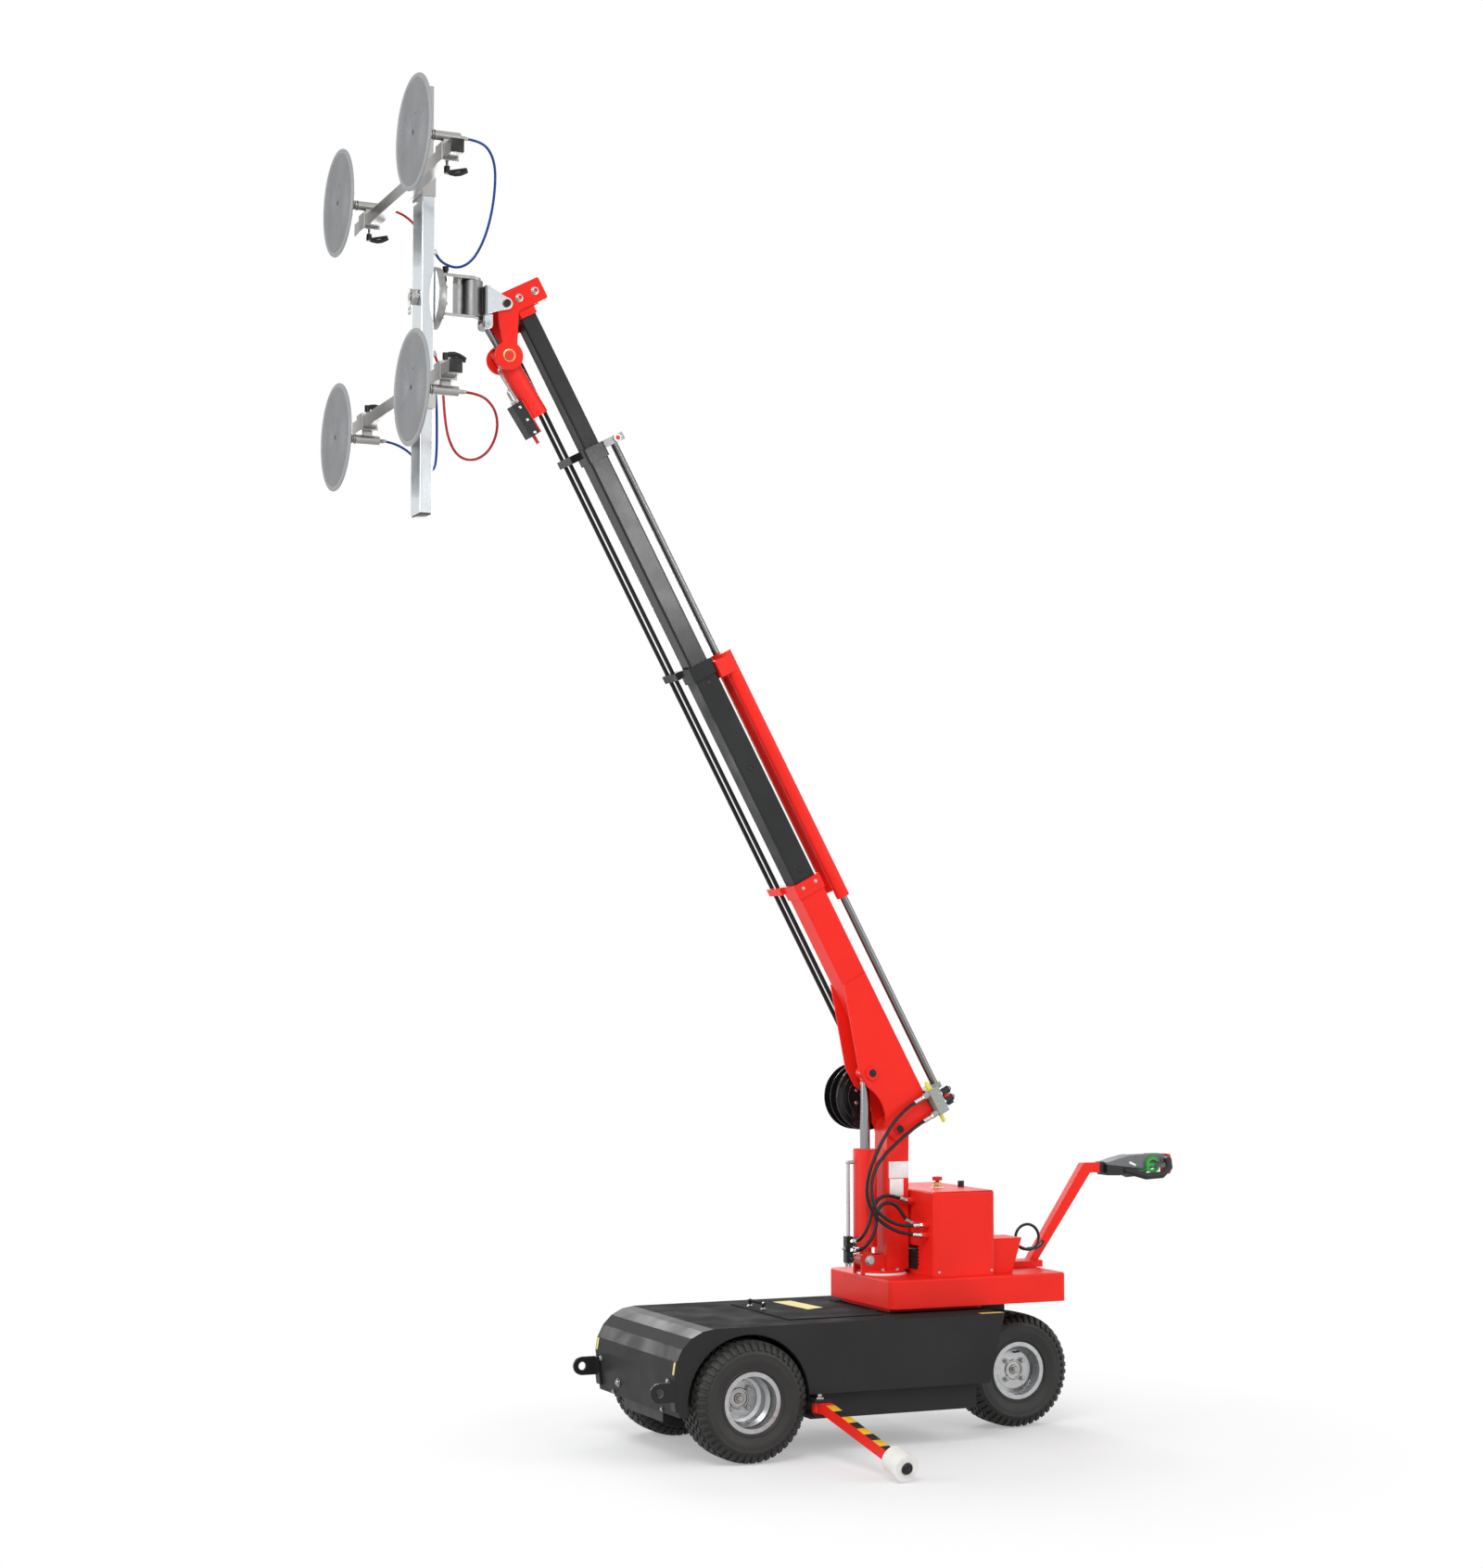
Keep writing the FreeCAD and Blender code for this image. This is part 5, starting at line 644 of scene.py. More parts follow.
# Vacuum hoses: the outer half runs from the cup's carrier to its arm, the inner half from arm to upright
ARM_MIDDLE_Y = 0.25
kit = Kit()
for key, arm, mat, route in VACUUM_ROUTES:
    line = route_line(route)
    middle = min(range(len(line)), key=lambda k: abs(abs(line[k].y) - ARM_MIDDLE_Y))
    hose_piece("vacuum_out_" + key, line[: middle + 1], VACUUM_D, mat, ("carrier_" + key, arm), "vacuum_hoses")
    hose_piece("vacuum_in_" + key, line[middle:], VACUUM_D, mat, (arm, "beam"), "vacuum_hoses")
    last = V(route[-1])
    kit.stack(last, (V(route[-2]) - last).normalized(), (-0.004, 0.016, 0.0078, 0.001, 6))
kit.done("beam_fittings", "beam")

# Long boom hoses: every boom section carries its own straight length on one line
BOOM_HOSE_RISE = 0.0593
BOOM_HOSE_Y = (-0.1075, -0.1625)
BOOM_RUNS = (("boom_base", 0.144, 1.062, 0.018), ("boom_mid", 1.058, 2.02, 0.0174),
             ("boom_inner", 2.016, 2.964, 0.0168), ("boom_tip", 2.96, 3.495, 0.0162))
for k, y in enumerate(BOOM_HOSE_Y):
    for body, low, high, thick in BOOM_RUNS:
        shares = (0, 0.25, 0.5, 0.75, 1.0)
        line = route_line([on_boom(low + (high - low) * share, y, BOOM_HOSE_RISE) for share in shares])
        hose_piece("long_hose_%d_%s" % (k, body), line, thick, hose_black, (body,), "boom_hoses")

# Tyres: a carcass with sidewall rings and a turf tread of small blocks

TREAD_H = 0.0062
TREAD_SUNK = -0.002
TREAD_PITCHES = 46
TREAD_TAPER = 0.8
BLOCK_PARTS = 3
TREAD_LINE = mm((-101.5, 190), (-98.5, 200), (-89.5, 212.5), (-76, 219.5), (-45, 221.9), (0, 222.2), (45, 221.9),
                (76, 219.5), (89.5, 212.5), (98.5, 200), (101.5, 190))
CARCASS_HALF = mm((83.6, 102.9), (83.8, 114.8), (88.8, 114.9), (92.5, 118), (94, 121.2), (97.2, 122.8), (97.6, 126.2),
                  (95.6, 128.5), (98.5, 136), (102, 148.5), (103, 150), (103, 153), (104, 154.5), (104.7, 166),
                  (104, 180), (104.6, 181.2), (104.4, 183), (103, 185), (101, 191), (97.5, 200), (88.5, 211.8),
                  (75.5, 219), (45, 221.4))
CARCASS_INNER = mm((45, 207.5), (70, 204), (85, 190), (89, 170), (86, 140), (72, 108))


def tread_at(share):
    """Place and outward direction on the tread line, from -1 at one shoulder to 1 at the other."""
    spans = [(V(b) - V(a)).length for a, b in zip(TREAD_LINE, TREAD_LINE[1:])]
    left = (share + 1) / 2 * sum(spans)
    for span, a, b in zip(spans, TREAD_LINE, TREAD_LINE[1:]):
        if left <= span + 1e-9:
            break
        left -= span
    a, b = V(a), V(b)
    ahead = (b - a).normalized()
    return a + ahead * left, V((-ahead.y, ahead.x))


# Rows of blocks: from and to on the tread line, shift, half width and skew in pitches
TREAD_ROWS = ((-0.11, 0.11, 0, 0.34, 0.5), (0.15, 0.37, 0.5, 0.34, -0.5),
              (0.41, 0.6, 0, 0.34, 0.5), (0.64, 0.97, 0.5, 0.3, 0))


def tread_block(kit, low, high, angle, half, skew):
    """One tread block, wrapped on the tread line between two shares."""
    def corner(share, a, lift):
        place, out = tread_at(share)
        y, r = place + out * lift
        return kit.bm.verts.new((r * cos(a), y, r * sin(a)))

    rows = []
    for k in range(BLOCK_PARTS + 1):
        t = k / BLOCK_PARTS
        share = low + (high - low) * t
        inset = (high - low) * 0.05 * (1 if k == 0 else -1 if k == BLOCK_PARTS else 0)
        a = angle + skew * (t - 0.5)
        top = half * TREAD_TAPER
        rows.append((
            corner(share, a - half, TREAD_SUNK), corner(share, a + half, TREAD_SUNK),
            corner(share + inset, a - top, TREAD_H), corner(share + inset, a + top, TREAD_H),
        ))
    for (b0, b1, t0, t1), (c0, c1, u0, u1) in zip(rows, rows[1:]):
        for quad in ((t0, t1, u1, u0), (b0, t0, u0, c0), (t1, b1, c1, u1), (b1, b0, c0, c1)):
            kit.bm.faces.new(quad)
    for b0, b1, t0, t1 in (rows[0], rows[-1]):
        kit.bm.faces.new((b0, b1, t1, t0))


def tyre_kit():
    outer = [(-y, r) for y, r in CARCASS_HALF] + CARCASS_HALF[::-1]
    inner = CARCASS_INNER[::-1] + [(-y, r) for y, r in CARCASS_INNER]
    kit = Kit().lathe((0, 0, 0), Y, outer + inner, 96, closed=True)
    pitch = 2 * pi / TREAD_PITCHES
    for k in range(TREAD_PITCHES):
        for low, high, shift, half, skew in TREAD_ROWS:
            angle = (k + shift) * pitch
            tread_block(kit, low, high, angle, half * pitch, skew * pitch)
            if low > 0:
                tread_block(kit, -low, -high, angle, half * pitch, -skew * pitch)
    return kit


def copy_of(o, name, place, body, node):
    """A copy of a master at its place, instead of the CAD node."""
    twin = add(name, o.data)
    twin.location = place
    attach(twin, body)
    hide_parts(node)


# Wheels: place of the axle, side of the disc and its distance from the middle
AXLE_Z = 0.2285
WHEELS = (("front_left", 0.662, 0.353, 1, -0.041), ("front_right", 0.662, -0.353, -1, -0.041),
          ("rear", -0.673, 0, 1, 0.049))
tyre = tyre_kit().done("tyre_master", None, tyre_black, 40.0)
for key, x, y, side, disc in WHEELS:
    copy_of(tyre, "turf_tyre_" + key, m(x, y, AXLE_Z), "wheel_" + key, "tyre_" + key)
bpy.data.objects.remove(tyre)

# Wheel hubs: a bright ring, the axle end with its nut, four wheel nuts and a tyre valve
HUB_RING = mm((0, 31.5), (0, 41.5), (5, 40.5), (7, 38), (7, 33), (4, 31.5))
NUT_CIRCLE_R = 0.051
for key, x, y, side, disc in WHEELS:
    out = Y * side
    face = m(x, y + side * disc, AXLE_Z)
    kit = Kit().lathe(face - out * 0.001, out, HUB_RING, 40, closed=True)
    kit.stack(face, out, (-0.001, 0.006, 0.019, 0.0012, 32), (0.0055, 0.0165, 0.015, 0.0018, 6),
              (0.016, 0.0215, 0.0085, 0.0012, 20))
    for a in spaced(4):
        spot = face + V((cos(a), 0, sin(a))) * NUT_CIRCLE_R
        kit.stack(spot, out, (0.0075, 0.015, 0.01, 0.0014, 6), (0.0145, 0.019, 0.0055, 0.001, 16))
    kit.done("hub_nuts_" + key, "wheel_" + key)
    root = face + Z * 0.07 - out * 0.002
    stem = [root + out * far + Z * rise for far, rise in ((0, 0), (0.012, 0), (0.024, 0.003), (0.038, 0.006))]
    kit = Kit().tube(stem, 0.004, 12)
    kit.rod(root + out * 0.036 + Z * 0.0055, root + out * 0.047 + Z * 0.0078, 0.0048, 0.0008, 14)
    kit.done("tyre_valve_" + key, "wheel_" + key, black_plastic)

# Wheel arches: a black liner behind each opening
LINER = mm((246.5, 404), (248.5, 404), (248.5, 206), (246.5, 206))
arch = [radians(-4.0 + 188.0 * k / 32) for k in range(33)]
for name, side in HANDS:
    rings = [[m(0.662 + r * cos(a), side * y, AXLE_Z + r * sin(a)) for r, y in LINER] for a in arch]
    Kit().skin(rings).done("arch_liner_" + name, "chassis", frame_paint)

# Suction cups: fine rings on the sealing face, a soft lip and a ribbed back


def cup_finish():
    f = Finish("cup_grey_rubber")
    split = f.node("SeparateXYZ", {0: f.where}).outputs
    y, z = split[1], split[2]
    radius = f.math("SQRT", f.math("ADD", f.math("MULTIPLY", y, y), f.math("MULTIPLY", z, z)))
    angle = f.math("ARCTAN2", z, y)
    fan = f.node("CombineXYZ", {0: f.math("MULTIPLY", angle, 26.0), 1: f.math("MULTIPLY", radius, 6.0)})
    streak = f.noise(1.0, 4.0, where=fan.outputs[0])
    rings = f.math("SINE", f.math("MULTIPLY", radius, 2 * pi / 0.0022))
    tone = f.mix(f.ramp(streak, 0.35, 0.72), (0.13, 0.136, 0.144, 1.0), (0.215, 0.222, 0.23, 1.0))
    tone = f.mix(f.ramp(rings, 0.2, 1.0, 0, 0.2), tone, (0.3, 0.31, 0.32, 1.0))
    tone = f.mix(f.ramp(radius, 0.1915, 0.1945), tone, (0.26, 0.265, 0.27, 1.0))
    normal = f.bump(streak, 0.25, 0.0008, f.bump(rings, 0.35, 0.0005))
    around = f.node("Tangent", direction_type="RADIAL", axis="X").outputs[0]
    f.put(f.shader.inputs["Tangent"], around)
    f.shader.inputs["Anisotropic"].default_value = 0.75
    return f.done(tone, f.ramp(streak, 0.3, 0.7, 0.3, 0.42), 0, normal)


CUP_RINGS = 26
RINGS_FROM, RINGS_TO = 0.016, 0.19
RIBS = 12
CUP_MIDDLE = mm((-3.2, 0), (-3.2, 10), (-1.6, 12.5))
CUP_LIP = mm((-3, 191.5), (-3, 194), (-0.6, 196.5), (-0.1, 201), (-0.6, 207), (-2.8, 211.2), (-6, 212.65),
             (-9.2, 211.8), (-10.2, 208), (-12, 196), (-18.6, 170.5), (-19.8, 166), (-20, 64), (-21.5, 61.5),
             (-32.5, 60), (-33.9, 58), (-33.9, 0))


def cup_kit():
    step = (RINGS_TO - RINGS_FROM) / CUP_RINGS
    face = CUP_MIDDLE[:]
    for k in range(CUP_RINGS):
        r = RINGS_FROM + step * k
        for along, share in ((-0.0016, 0.1), (-0.0006, 0.3), (-0.0006, 0.75), (-0.0016, 0.95)):
            face.append((along, r + step * share))
    kit = Kit().lathe((0, 0, 0), X, face + CUP_LIP, 112)
    for k in range(RIBS):
        a = 2 * pi * k / RIBS
        out = V((0, cos(a), sin(a)))
        turn = Matrix((X, out, X.cross(out))).transposed()
        kit.slab(X * -0.0215 + out * 0.112, (0.006, 0.1, 0.007), 0.0015, turn)
    return kit


def winding(start, long, radius, turns, steps=18):
    """The line of a wire wound along X."""
    side = X.orthogonal().normalized()
    up = X.cross(side)
    line = []
    for k in range(turns * steps + 1):
        a = 2 * pi * k / steps
        line.append(start + X * (long * k / (turns * steps)) + (side * cos(a) + up * sin(a)) * radius)
    return line


# Each cup with its spring, the screws in its face and the fitting of its hose
cup = cup_kit().done("cup_master", None, cup_finish(), 40.0)
for key, y, z, up in CUPS:
    body = "carrier_" + key
    face = m(2.04139, y, z)
    copy_of(cup, "suction_cup_" + key, face, body, "cup_" + key)
    kit = Kit().tube(winding(face - X * 0.0808, 0.044, 0.0172, 6), 0.0024, 8)
    kit.stack(face, X, (-0.0843, -0.0808, 0.021), (-0.0373, -0.0337, 0.0215))
    kit.done("cup_spring_" + key, body)
    kit = Kit().stack(face, X, (-0.004, -0.0012, 0.0085, 0.0006))
    kit.stack(face + Y * 0.026 + Z * 0.062, X, (-0.004, -0.0003, 0.0035, 0.0004, 12))
    kit.done("cup_screws_" + key, body, satin_black)
    kit = Kit().stack(face, X, (-0.1988, -0.1803, 0.0098, 0.0012, 6), (-0.2103, -0.1983, 0.0074, 0.0012))
    kit.done("cup_fitting_" + key, body)
bpy.data.objects.remove(cup)

# Nose: domed bolts over the plain heads
kit = Kit()
for y, z, r in ((0.1861, 0.24, 0.013), (0.346, 0.314, 0.009), (0.2501, 0.197, 0.007)):
    x = 0.9452 + 0.02 * (z + r - 0.185) / 0.155
    profile = [(0, 0), (0, r * 1.25), (0.0012, r * 1.32), (0.003, r * 1.28), (0.0034, r * 1.04)]
    profile += [(0.006 + r * 0.52 * sin(pi * k / 12), r * 1.02 * cos(pi * k / 12)) for k in range(7)]
    for side in SIDES:
        kit.lathe(m(x, side * y, z), X, profile)
kit.done("nose_domes", "chassis", chrome)

# Hood: a blank plate on the hatch, bright collars and ends at the handle, one bolt
PLATE = mm((-41, -263), (-63, 23), (-143, -10), (-123, -272))
PLATE_Z, PLATE_T = 0.5092, 0.0008
rings = [[(x, y, z) for x, y in PLATE] for z in (PLATE_Z, PLATE_Z + PLATE_T)]
Kit().skin(rings).done("hood_plate", "hatch", yellow_label)
HANDLE_X, HANDLE_Y = 0.403, -0.1
COLLAR = mm((0, 0), (0, 12.5), (3, 12.5), (4.2, 10), (8.5, 9), (9.5, 6.6), (9.5, 0))
kit = Kit()
for side in SIDES:
    kit.lathe(m(HANDLE_X, HANDLE_Y + side * 0.063, 0.5088), Z, COLLAR, 24)
    kit.stack(m(HANDLE_X, HANDLE_Y + side * 0.077, 0.5333), Y * -side, (0, 0.012, 0.007, 0.0014))
kit.done("handle_ends", "hatch", chrome)
Kit().bolt(m(-0.0755, -0.352, 0.505), Z, 0.0065, 0.0045).done("hood_bolt", "chassis")

# Small blank plates: two on the nose, one on the hood beside the deck
NOSE_LEAN = Matrix.Rotation(-atan2(0.0081, 0.051), 3, "Y")
kit = Kit()
for side in SIDES:
    kit.slab((0.6627, side * 0.395, 0.3655), (0.001, 0.016, 0.046), 0.0004, NOSE_LEAN)
kit.slab(m(-0.385, 0.385, 0.5056), (0.1, 0.03, 0.0008), 0.0003)
kit.done("small_plates", "chassis", yellow_label)

# Column: blank plates on its near face, a pale seal and bolts round the flange, clear of the ears
kit = Kit()
for x, z, wide, high in ((-0.1505, 1.0465, 0.088, 0.066), (-0.141, 0.977, 0.061, 0.068)):
    kit.slab(m(x, 0.0544, z), (wide, 0.0018, high), 0.0006)
kit.done("column_plates", "chassis", white_label)
COLUMN_X = -0.1
SEAL = mm((0, 95.5), (0, 101), (5, 100.5), (7.5, 98.5), (7.5, 95.5))
kit = Kit().lathe(m(COLUMN_X, 0, 0.6345), Z, SEAL, 64, closed=True)
kit.done("flange_seal", "chassis", white_label)
BOLT_CIRCLE_R, EARS_Y = 0.083, 0.0645
kit = Kit()
for a in spaced(8):
    spot = m(COLUMN_X + BOLT_CIRCLE_R * cos(a), BOLT_CIRCLE_R * sin(a), 0.653)
    if abs(spot.y) > EARS_Y:
        kit.bolt(spot, Z, 0.0085, 0.0065)
kit.done("flange_bolts", "chassis")

# Cover: washer and collar of the emergency stop, low screws, louvre
STOP = m(-0.332, 0.04, 0)
WASHER = mm((0, 15.5), (0, 26), (2.2, 25.5), (3, 24.5), (3, 15.5))
STOP_COLLAR = mm((0, 15.5), (0, 18.5), (6, 18.5), (7.5, 16.8), (18.5, 16.6), (19.5, 15.5))
Kit().lathe(STOP + Z * 0.9698, Z, WASHER, 40, closed=True).done("stop_washer", "chassis", white_label)
Kit().lathe(STOP + Z * 0.9726, Z, STOP_COLLAR, 40, closed=True).done("stop_collar", "chassis", brass)
kit = Kit()
for x in (-0.2255, -0.4595):
    for side in SIDES:
        kit.stack(m(x, 0, 0.655), Y * side, (0.2545, 0.258, 0.0052, 0.001, 20))
kit.done("cover_screws", "chassis")
BLADE_TURN = Matrix.Rotation(radians(38.0), 3, "Y")
kit = Kit().slab(m(-0.2037, 0.054, 0.699), (0.003, 0.118, 0.088), 0.0008)
for k in range(7):
    kit.slab(m(-0.2005, 0.054, 0.6645 + 0.0115 * k), (0.007, 0.106, 0.0018), 0.0005, BLADE_TURN)
kit.done("cover_louvre", "chassis", black_plastic)

# Boom valve: capped ports at both ends, two coils, a connector, their nuts and the face screws
COILS = (-0.002, 0.0332)
COIL_Y = 0.0716
CAP = mm((0, 0), (0, 8.5), (30, 8), (35, 6.6), (37, 4), (37.5, 0))
COIL = mm((230, 0), (230, 14.2), (231.2, 15.5), (266, 15.5), (267.5, 14), (267.5, 8.5), (275, 8), (276, 6.6),
          (276, 0))
kit = Kit()
for along, y, way in ((0.0745, 0.086, 1), (-0.0345, 0.08, -1)):
    kit.lathe(on_boom(along, y, 0.184), boom_u * way, CAP, 20)
kit.done("valve_caps", "boom_base", yellow_plastic)
kit, nuts = Kit(), Kit()
for along in COILS:
    kit.lathe(on_boom(along, COIL_Y, 0), boom_n, COIL)
    nuts.stack(on_boom(along, COIL_Y, 0), boom_n, (0.218, 0.2292, 0.0145, 0.0014, 6),
               (0.2665, 0.2715, 0.0105, 0.001, 6))
kit.slab(on_boom(COILS[0] - 0.015, COIL_Y, 0.248), (0.016, 0.018, 0.026), axes=boom_axes)
kit.done("valve_coils", "boom_base", black_plastic)
kit = Kit().slab(on_boom(COILS[1] - 0.016, COIL_Y + 0.004, 0.244), (0.014, 0.018, 0.024), axes=boom_axes)
kit.done("valve_connector", "boom_base", red_plastic)
for along, rise in ((0.01, 0.185), (0.046, 0.205), (-0.02, 0.206)):
    nuts.stack(on_boom(along, 0, rise), Y, (0.1, 0.1012, 0.0045, 0.0006, 6))
nuts.done("valve_nuts", "boom_base")

# Lift cylinder: bright ends with a washer on its foot pin, stubs below and in front of its valve
PIN_END = mm((0, 0), (0, 21.5), (2.4, 21), (2.8, 16), (8.5, 15.8), (10.2, 13.8), (10.4, 0))
Kit().pair(m(-0.0279, 0.0403, 0.69), PIN_END).done("foot_pin_ends", "chassis")
kit = Kit()
for x in (0.04, 0.0552):
    kit.stack(m(x, 0, 0), -Z, (-0.682, -0.666, 0.0055, 0.001, 16), (-0.6825, -0.676, 0.008, 0.001, 6))
kit.stack(m(0, 0, 0.737), X, (0.0612, 0.067, 0.01, 0.0012, 6), (0.066, 0.073, 0.006, 0.001, 16))
kit.done("lift_valve_stubs", "lift_barrel")

# Pins of the boom: dark heads with a raised ring
PIN_HEAD = mm((0, 0), (0, 16), (2.4, 15.5), (3.2, 14), (3.2, 10.5), (1.8, 9.8), (1.8, 5), (3.4, 4.6), (3.8, 0))
for name, along, body in (("boom_pin", 0, "chassis"), ("lift_pin", 0.254, "boom_base")):
    Kit().pair(on_boom(along, 0.0718, 0), PIN_HEAD).done(name + "_heads", body, satin_black)

# Boom sections: bores in the sides, bolts of the wear pads in the collars
TUBE_RISE = 0.116
BORE = mm((0, 0), (0, 12.5), (0.6, 12.8), (0.7, 10.8), (0.25, 10.4), (0.25, 0))
kit = Kit()
for along in (1.11, 1.561, 1.94):
    kit.pair(on_boom(along, 0.0484, TUBE_RISE), BORE)
kit.done("mid_bores", "boom_mid", satin_black)
for body, end, half, wide in (
    ("boom_base", 1.065, 0.0564, 0.0626), ("boom_mid", 2.023, 0.0486, 0.0486), ("boom_inner", 2.967, 0.0418, 0.0418),
):
    kit = Kit()
    for side in SIDES:
        for rise in (TUBE_RISE - half * 0.55, TUBE_RISE + half * 0.55):
            kit.bolt(on_boom(end - 0.024, side * wide, rise), Y * side, 0.0055, 0.004)
    kit.done(body + "_pad_bolts", body)

# Lug of the upper ram rod: its pin and a cap on it
LUG = on_boom(2.952, 0, 0.236)
Kit().stack(LUG, Y, (0.0145, 0.023, 0.016, 0.0016, 28)).done("lug_pin", "boom_inner", white_label)
Kit().stack(LUG, Y, (0.0225, 0.0255, 0.0085, 0.0012)).done("lug_pin_cap", "boom_inner", red_plastic)

# Hose reel: pressed rings and bolts on its near flange
REEL_FACE = on_boom(0.144, -0.0803, -0.007)
kit = Kit()
for r, deep in ((0.128, 0.004), (0.104, 0.0022), (0.078, 0.0022)):
    ridge = [(0, r - 0.0045), (0, r + 0.0045), (deep * 0.8, r + 0.0025), (deep, r), (deep * 0.8, r - 0.0025)]
    kit.lathe(REEL_FACE - Y * 0.0004, Y, ridge, 72, closed=True)
kit.done("reel_rings", "hose_reel", gloss_black)
kit = Kit()
for a in spaced(6):
    kit.bolt(REEL_FACE + (boom_u * cos(a) + boom_n * sin(a)) * 0.05, Y, 0.0065, 0.0045)
kit.done("reel_bolts", "hose_reel")

# Head: bracket bolts, pin heads, brass bushes at the trunnions
BRACKET_BOLT = mm((0, 0), (0, 16.5), (2, 16), (2.2, 12.8), (9.6, 12.6), (10.8, 11.2), (10.8, 7.2), (7, 6.6), (7, 0))
YOKE_PIN = mm((0, 0), (0, 14.5), (2.6, 13.8), (3.4, 12), (3.4, 7.5), (1.6, 6.6), (1.6, 0))
BUSH = mm((0, 19), (0, 25.8), (2.4, 25.4), (3.2, 24.4), (3.2, 22.6), (2.2, 19))
kit = Kit()
for rise in (0.178, 0.106):
    kit.pair(on_boom(HEAD_ALONG, 0.0555, rise), BRACKET_BOLT, 24)
kit.done("bracket_bolts", "boom_tip")
Kit().pair(on_boom(HEAD_ALONG, 0.074, HEAD_RISE), YOKE_PIN, 24).done("yoke_pin_heads", "boom_tip", satin_black)
Kit().pair(on_tilt(0, 0.0555, 0), BUSH, 40, closed=True).done("trunnion_bushes", "boom_tip", brass)

# Tilt cylinder: two bent pipes with a nut at each end, screws of its valve block
PIPES = ((0.014, ((-0.172, 0.052), (-0.11, 0.053), (-0.035, 0.055), (-0.026, 0.052), (-0.022, 0.038))),
         (-0.014, ((-0.172, 0.058), (-0.14, 0.058), (-0.12, 0.057), (-0.113, 0.052), (-0.11, 0.036))))
kit = Kit()
for y, bends in PIPES:
    kit.tube([on_tilt(along, y, out) for along, out in bends], 0.005)
    kit.stack(on_tilt(0, y, bends[0][1]), tilt_run, (-0.172, -0.158, 0.0098, 0.0012, 6))
    kit.stack(on_tilt(bends[-1][0], y, 0), tilt_down, (0.0355, 0.0445, 0.0098, 0.0012, 6))
for along in (-0.3, -0.245, -0.19):
    kit.stack(on_tilt(along, 0, 0.062), Y, (0.0295, 0.034, 0.0068, 0.001, 6))
kit.done("tilt_pipes", "tilt_barrel")

# Yaw head: nuts of the link, bolts of the flange, rim of the turntable
YAW = V((0, 0, 4.3963))
kit = Kit()
for side in SIDES:
    kit.bolt(tilt_link + Y * side * 0.033, Y * side, 0.011, 0.007)
kit.done("link_nuts", "tilt_yoke")
kit = Kit()
for a in spaced(8):
    kit.bolt(YAW + V((1.4765, 0.082 * cos(a), 0.082 * sin(a))), -X, 0.007, 0.0055)
kit.done("flange_ring_bolts", "yaw_frame")
RIM = mm((0, 119.5), (0, 120.6), (4, 121.4), (23, 121.4), (27, 120.6), (27, 119.5))
Kit().lathe(YAW + X * 1.4885, X, RIM, 96, closed=True).done("turntable_rim", "beam", cast)

# Spindle end in front of the upright: bright nut and a pin with its ring
CLIP = YAW + X * 1.5945
ring = [CLIP + V((0, 0.013 * sin(pi * k / 12), 0.013 * cos(pi * k / 12) - 0.056)) for k in range(25)]
kit = Kit().stack(YAW, X, (1.5663, 1.5915, 0.0345, 0.003, 6))
kit.stack(CLIP, -Z, (-0.03, 0.046, 0.0042, 0.001, 14)).tube(ring, 0.0026, 10)
kit.done("spindle_clip", "yaw_frame")

# Black plugs in the foot of the upright and in the ends of the cross arms
kit = Kit().slab(m(1.83939, 0, 3.5615), (0.0416, 0.1116, 0.01), 0.001)
kit.done("upright_plug", "beam", black_plastic)
for arm, z in (("upper_arm", 4.8063), ("lower_arm", 4.0003)):
    kit = Kit()
    for side in SIDES:
        kit.slab((1.6107, side * 0.6246, z), (0.05, 0.0052, 0.05), 0.0018)
    kit.done(arm + "_caps", arm, black_plastic)

# Clamp levers: bent grips over the plain bars
GRIP = mm((1610.7, 8), (1596, 2), (1578, 0), (1560, 4), (1546, 11), (1534.5, 18))
for key, y, z, up in CUPS:
    level = 4.735 if up > 0 else 4.0716
    kit = Kit().tube([(x, y, level + up * rise) for x, rise in GRIP], 0.0078, 16)
    kit.done("lever_grip_" + key, "lever_" + key, black_plastic)

# Outriggers: stripes of two colours along the arm, a black tip with its cap, the nut of the hinge
STRIPES = 8
TIP_CAP = mm((0, 0), (0, 23), (4, 22.5), (8.5, 19.5), (8.8, 6), (7, 0))
HINGE_WASHER = mm((0, 0), (0, 20), (5, 19.5), (6, 18), (6, 0))
for name, side in HANDS:
    body = "outrigger_" + name
    knee = m(0.3783, side * 0.5005, 0.196)
    end = m(0.325, side * 0.931, 0.0776)
    run = (end - knee).normalized()
    flat = run.cross(Z).normalized()
    below = run.cross(flat)
    axes = Matrix((run, flat, below)).transposed()
    long = (end - knee).length - 0.022
    kits = (Kit(), Kit())
    for k in range(STRIPES):
        centre = knee + run * (0.012 + long * (k + 0.5) / STRIPES) - below * 0.0202
        kits[k % 2].slab(centre, (long / STRIPES - 0.0004, 0.0375, 0.002), 0.0006, axes)
    kits[0].done("warning_yellow_" + name, body, stripe_yellow)
    kits[1].done("warning_black_" + name, body, black_plastic)
    tip = end + run * 0.0905
    zone_dress("outrigger_arm_" + name, RED_COAT, [([plane_along(run, tip - run * 0.002)], "paint", SOOT, 0.4)])
    Kit().lathe(tip - run * 0.0006, run, TIP_CAP).done("roller_cap_" + name, body, satin_black)
    hinge = m(0.386, side * 0.438, 0)
    kit = Kit().lathe(hinge + Z * 0.2282, Z, HINGE_WASHER)
    kit.stack(hinge, Z, (0.234, 0.246, 0.0135, 0.0015, 6)).done("hinge_nut_" + name, "chassis")

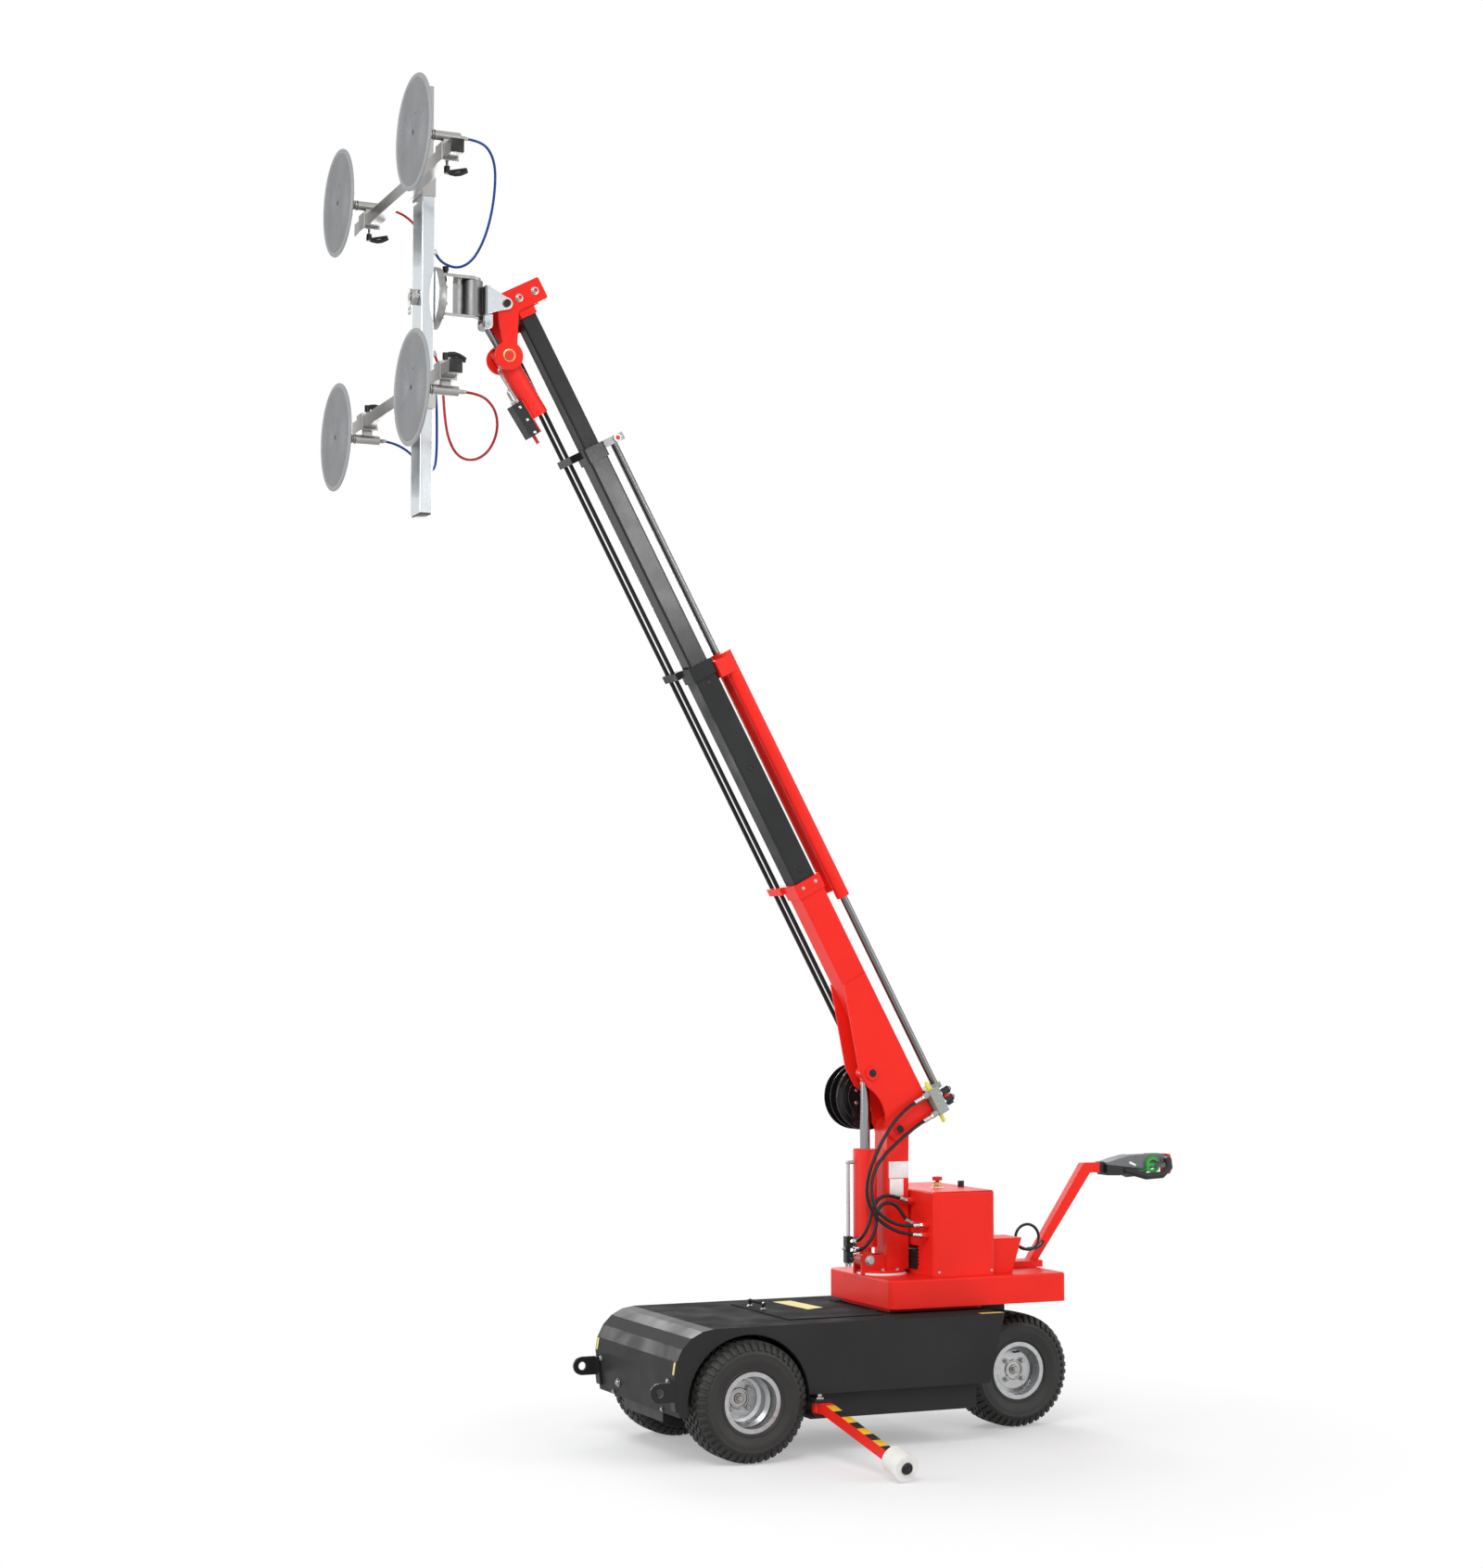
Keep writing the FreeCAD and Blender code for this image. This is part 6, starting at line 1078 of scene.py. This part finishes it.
# Tiller: sleeve at the head, pale buttons on both sides, green pad on top
kit = Kit().slab(m(HEAD_X + 0.011, 0, HEAD_Z), (0.026, 0.047, 0.047), 0.005, segments=3)
kit.done("tiller_sleeve", "steering", black_plastic)
BUTTON_TURN = Matrix.Rotation(radians(-24.0), 3, "Y")
kit = Kit()
for side in SIDES:
    spot = m(HEAD_X - 0.123, side * 0.0402, HEAD_Z + 0.012)
    kit.slab(spot, (0.034, 0.004, 0.01), 0.0018, BUTTON_TURN, 3)
kit.done("tiller_buttons", "steering", white_label)
kit = Kit().slab(m(HEAD_X - 0.245, 0, HEAD_Z + 0.0495), (0.06, 0.04, 0.0036), 0.0015)
kit.done("tiller_top_pad", "steering", green_plastic)


def emptied(block):
    """The cleared node tree of a world or material."""
    block.use_nodes = True
    block.node_tree.nodes.clear()
    return Nodes(block.node_tree)


# Light: four soft lamps, a small panel that the near face of the boom mirrors, two behind for the bends of the nose
BODY, NOSE = (0, 0, 2.0), (0.6, 0.1, 0.45)
for name, place, target, size, power in (
    ("key", (5.0, 7.0, 8.5), BODY, (5.0, 5.0), 560.0),
    ("fill", (-6.5, 6.0, 4.0), BODY, (4.0, 6.0), 200.0),
    ("front", (8.5, 0.5, 3.5), (0, 0, 1.8), (4.0, 5.0), 220.0),
    ("back", (-2.0, -8.0, 6.0), (0, 0, 2.5), (6.0, 4.0), 300.0),
    ("panel", (-2.27, 7.38, 4.77), (0.67, 0.04, 3.51), (1.0, 1.4), 60.0),
    ("strip_high", (-0.75, -7.2, 3.35), NOSE, (1.3, 1.0), 60.0),
    ("strip_low", (1.92, -3.47, 1.37), NOSE, (0.45, 0.45), 20.0),
):
    lamp = bpy.data.lights.new(name, "AREA")
    lamp.shape = "RECTANGLE"
    lamp.size, lamp.size_y = size
    lamp.energy = power
    o = add(name, lamp)
    o.location = place
    o.rotation_euler = (V(target) - V(place)).to_track_quat("-Z", "Y").to_euler()

# World: it lights the object evenly, and rays that look see plain white
world = scene.world = bpy.data.worlds.new("studio")
sky = emptied(world)
lit = sky.node("Background", {"Color": (0.95, 0.97, 1.0, 1.0), "Strength": 0.42}).outputs[0]
shown = sky.node("Background", {"Color": (1.0, 1.0, 1.0, 1.0), "Strength": 1.0}).outputs[0]
sky.node("OutputWorld", {"Surface": sky.node("MixShader", {0: sky.seen(), 1: lit, 2: shown}).outputs[0]})

# Floor: pale, with the object's shadow on it, running out into the plain white
REACH = 60.0
SHADOW_FROM, SHADOW_TO, NEAR_GLOW = 1.2, 2.5, 0.35
sheet = bpy.data.meshes.new("floor")
sheet.from_pydata([(-REACH, -REACH, 0), (REACH, -REACH, 0), (REACH, REACH, 0), (-REACH, REACH, 0)], [], [(0, 1, 2, 3)])
floor = add("floor", sheet)
pale = bpy.data.materials.new("floor_pale")
f = emptied(pale)
away = f.node("VectorMath", {0: f.node("TexCoord").outputs["Object"]}, operation="LENGTH").outputs["Value"]
share = f.math("MULTIPLY", f.ramp(away, SHADOW_FROM, SHADOW_TO, NEAR_GLOW), f.seen())
matt = f.node("BsdfDiffuse", {"Color": (0.9, 0.9, 0.9, 1.0)}).outputs[0]
mixed = f.node("MixShader", {0: share, 1: matt, 2: f.node("Emission").outputs[0]}).outputs[0]
f.node("OutputMaterial", {"Surface": mixed})
sheet.materials.append(pale)
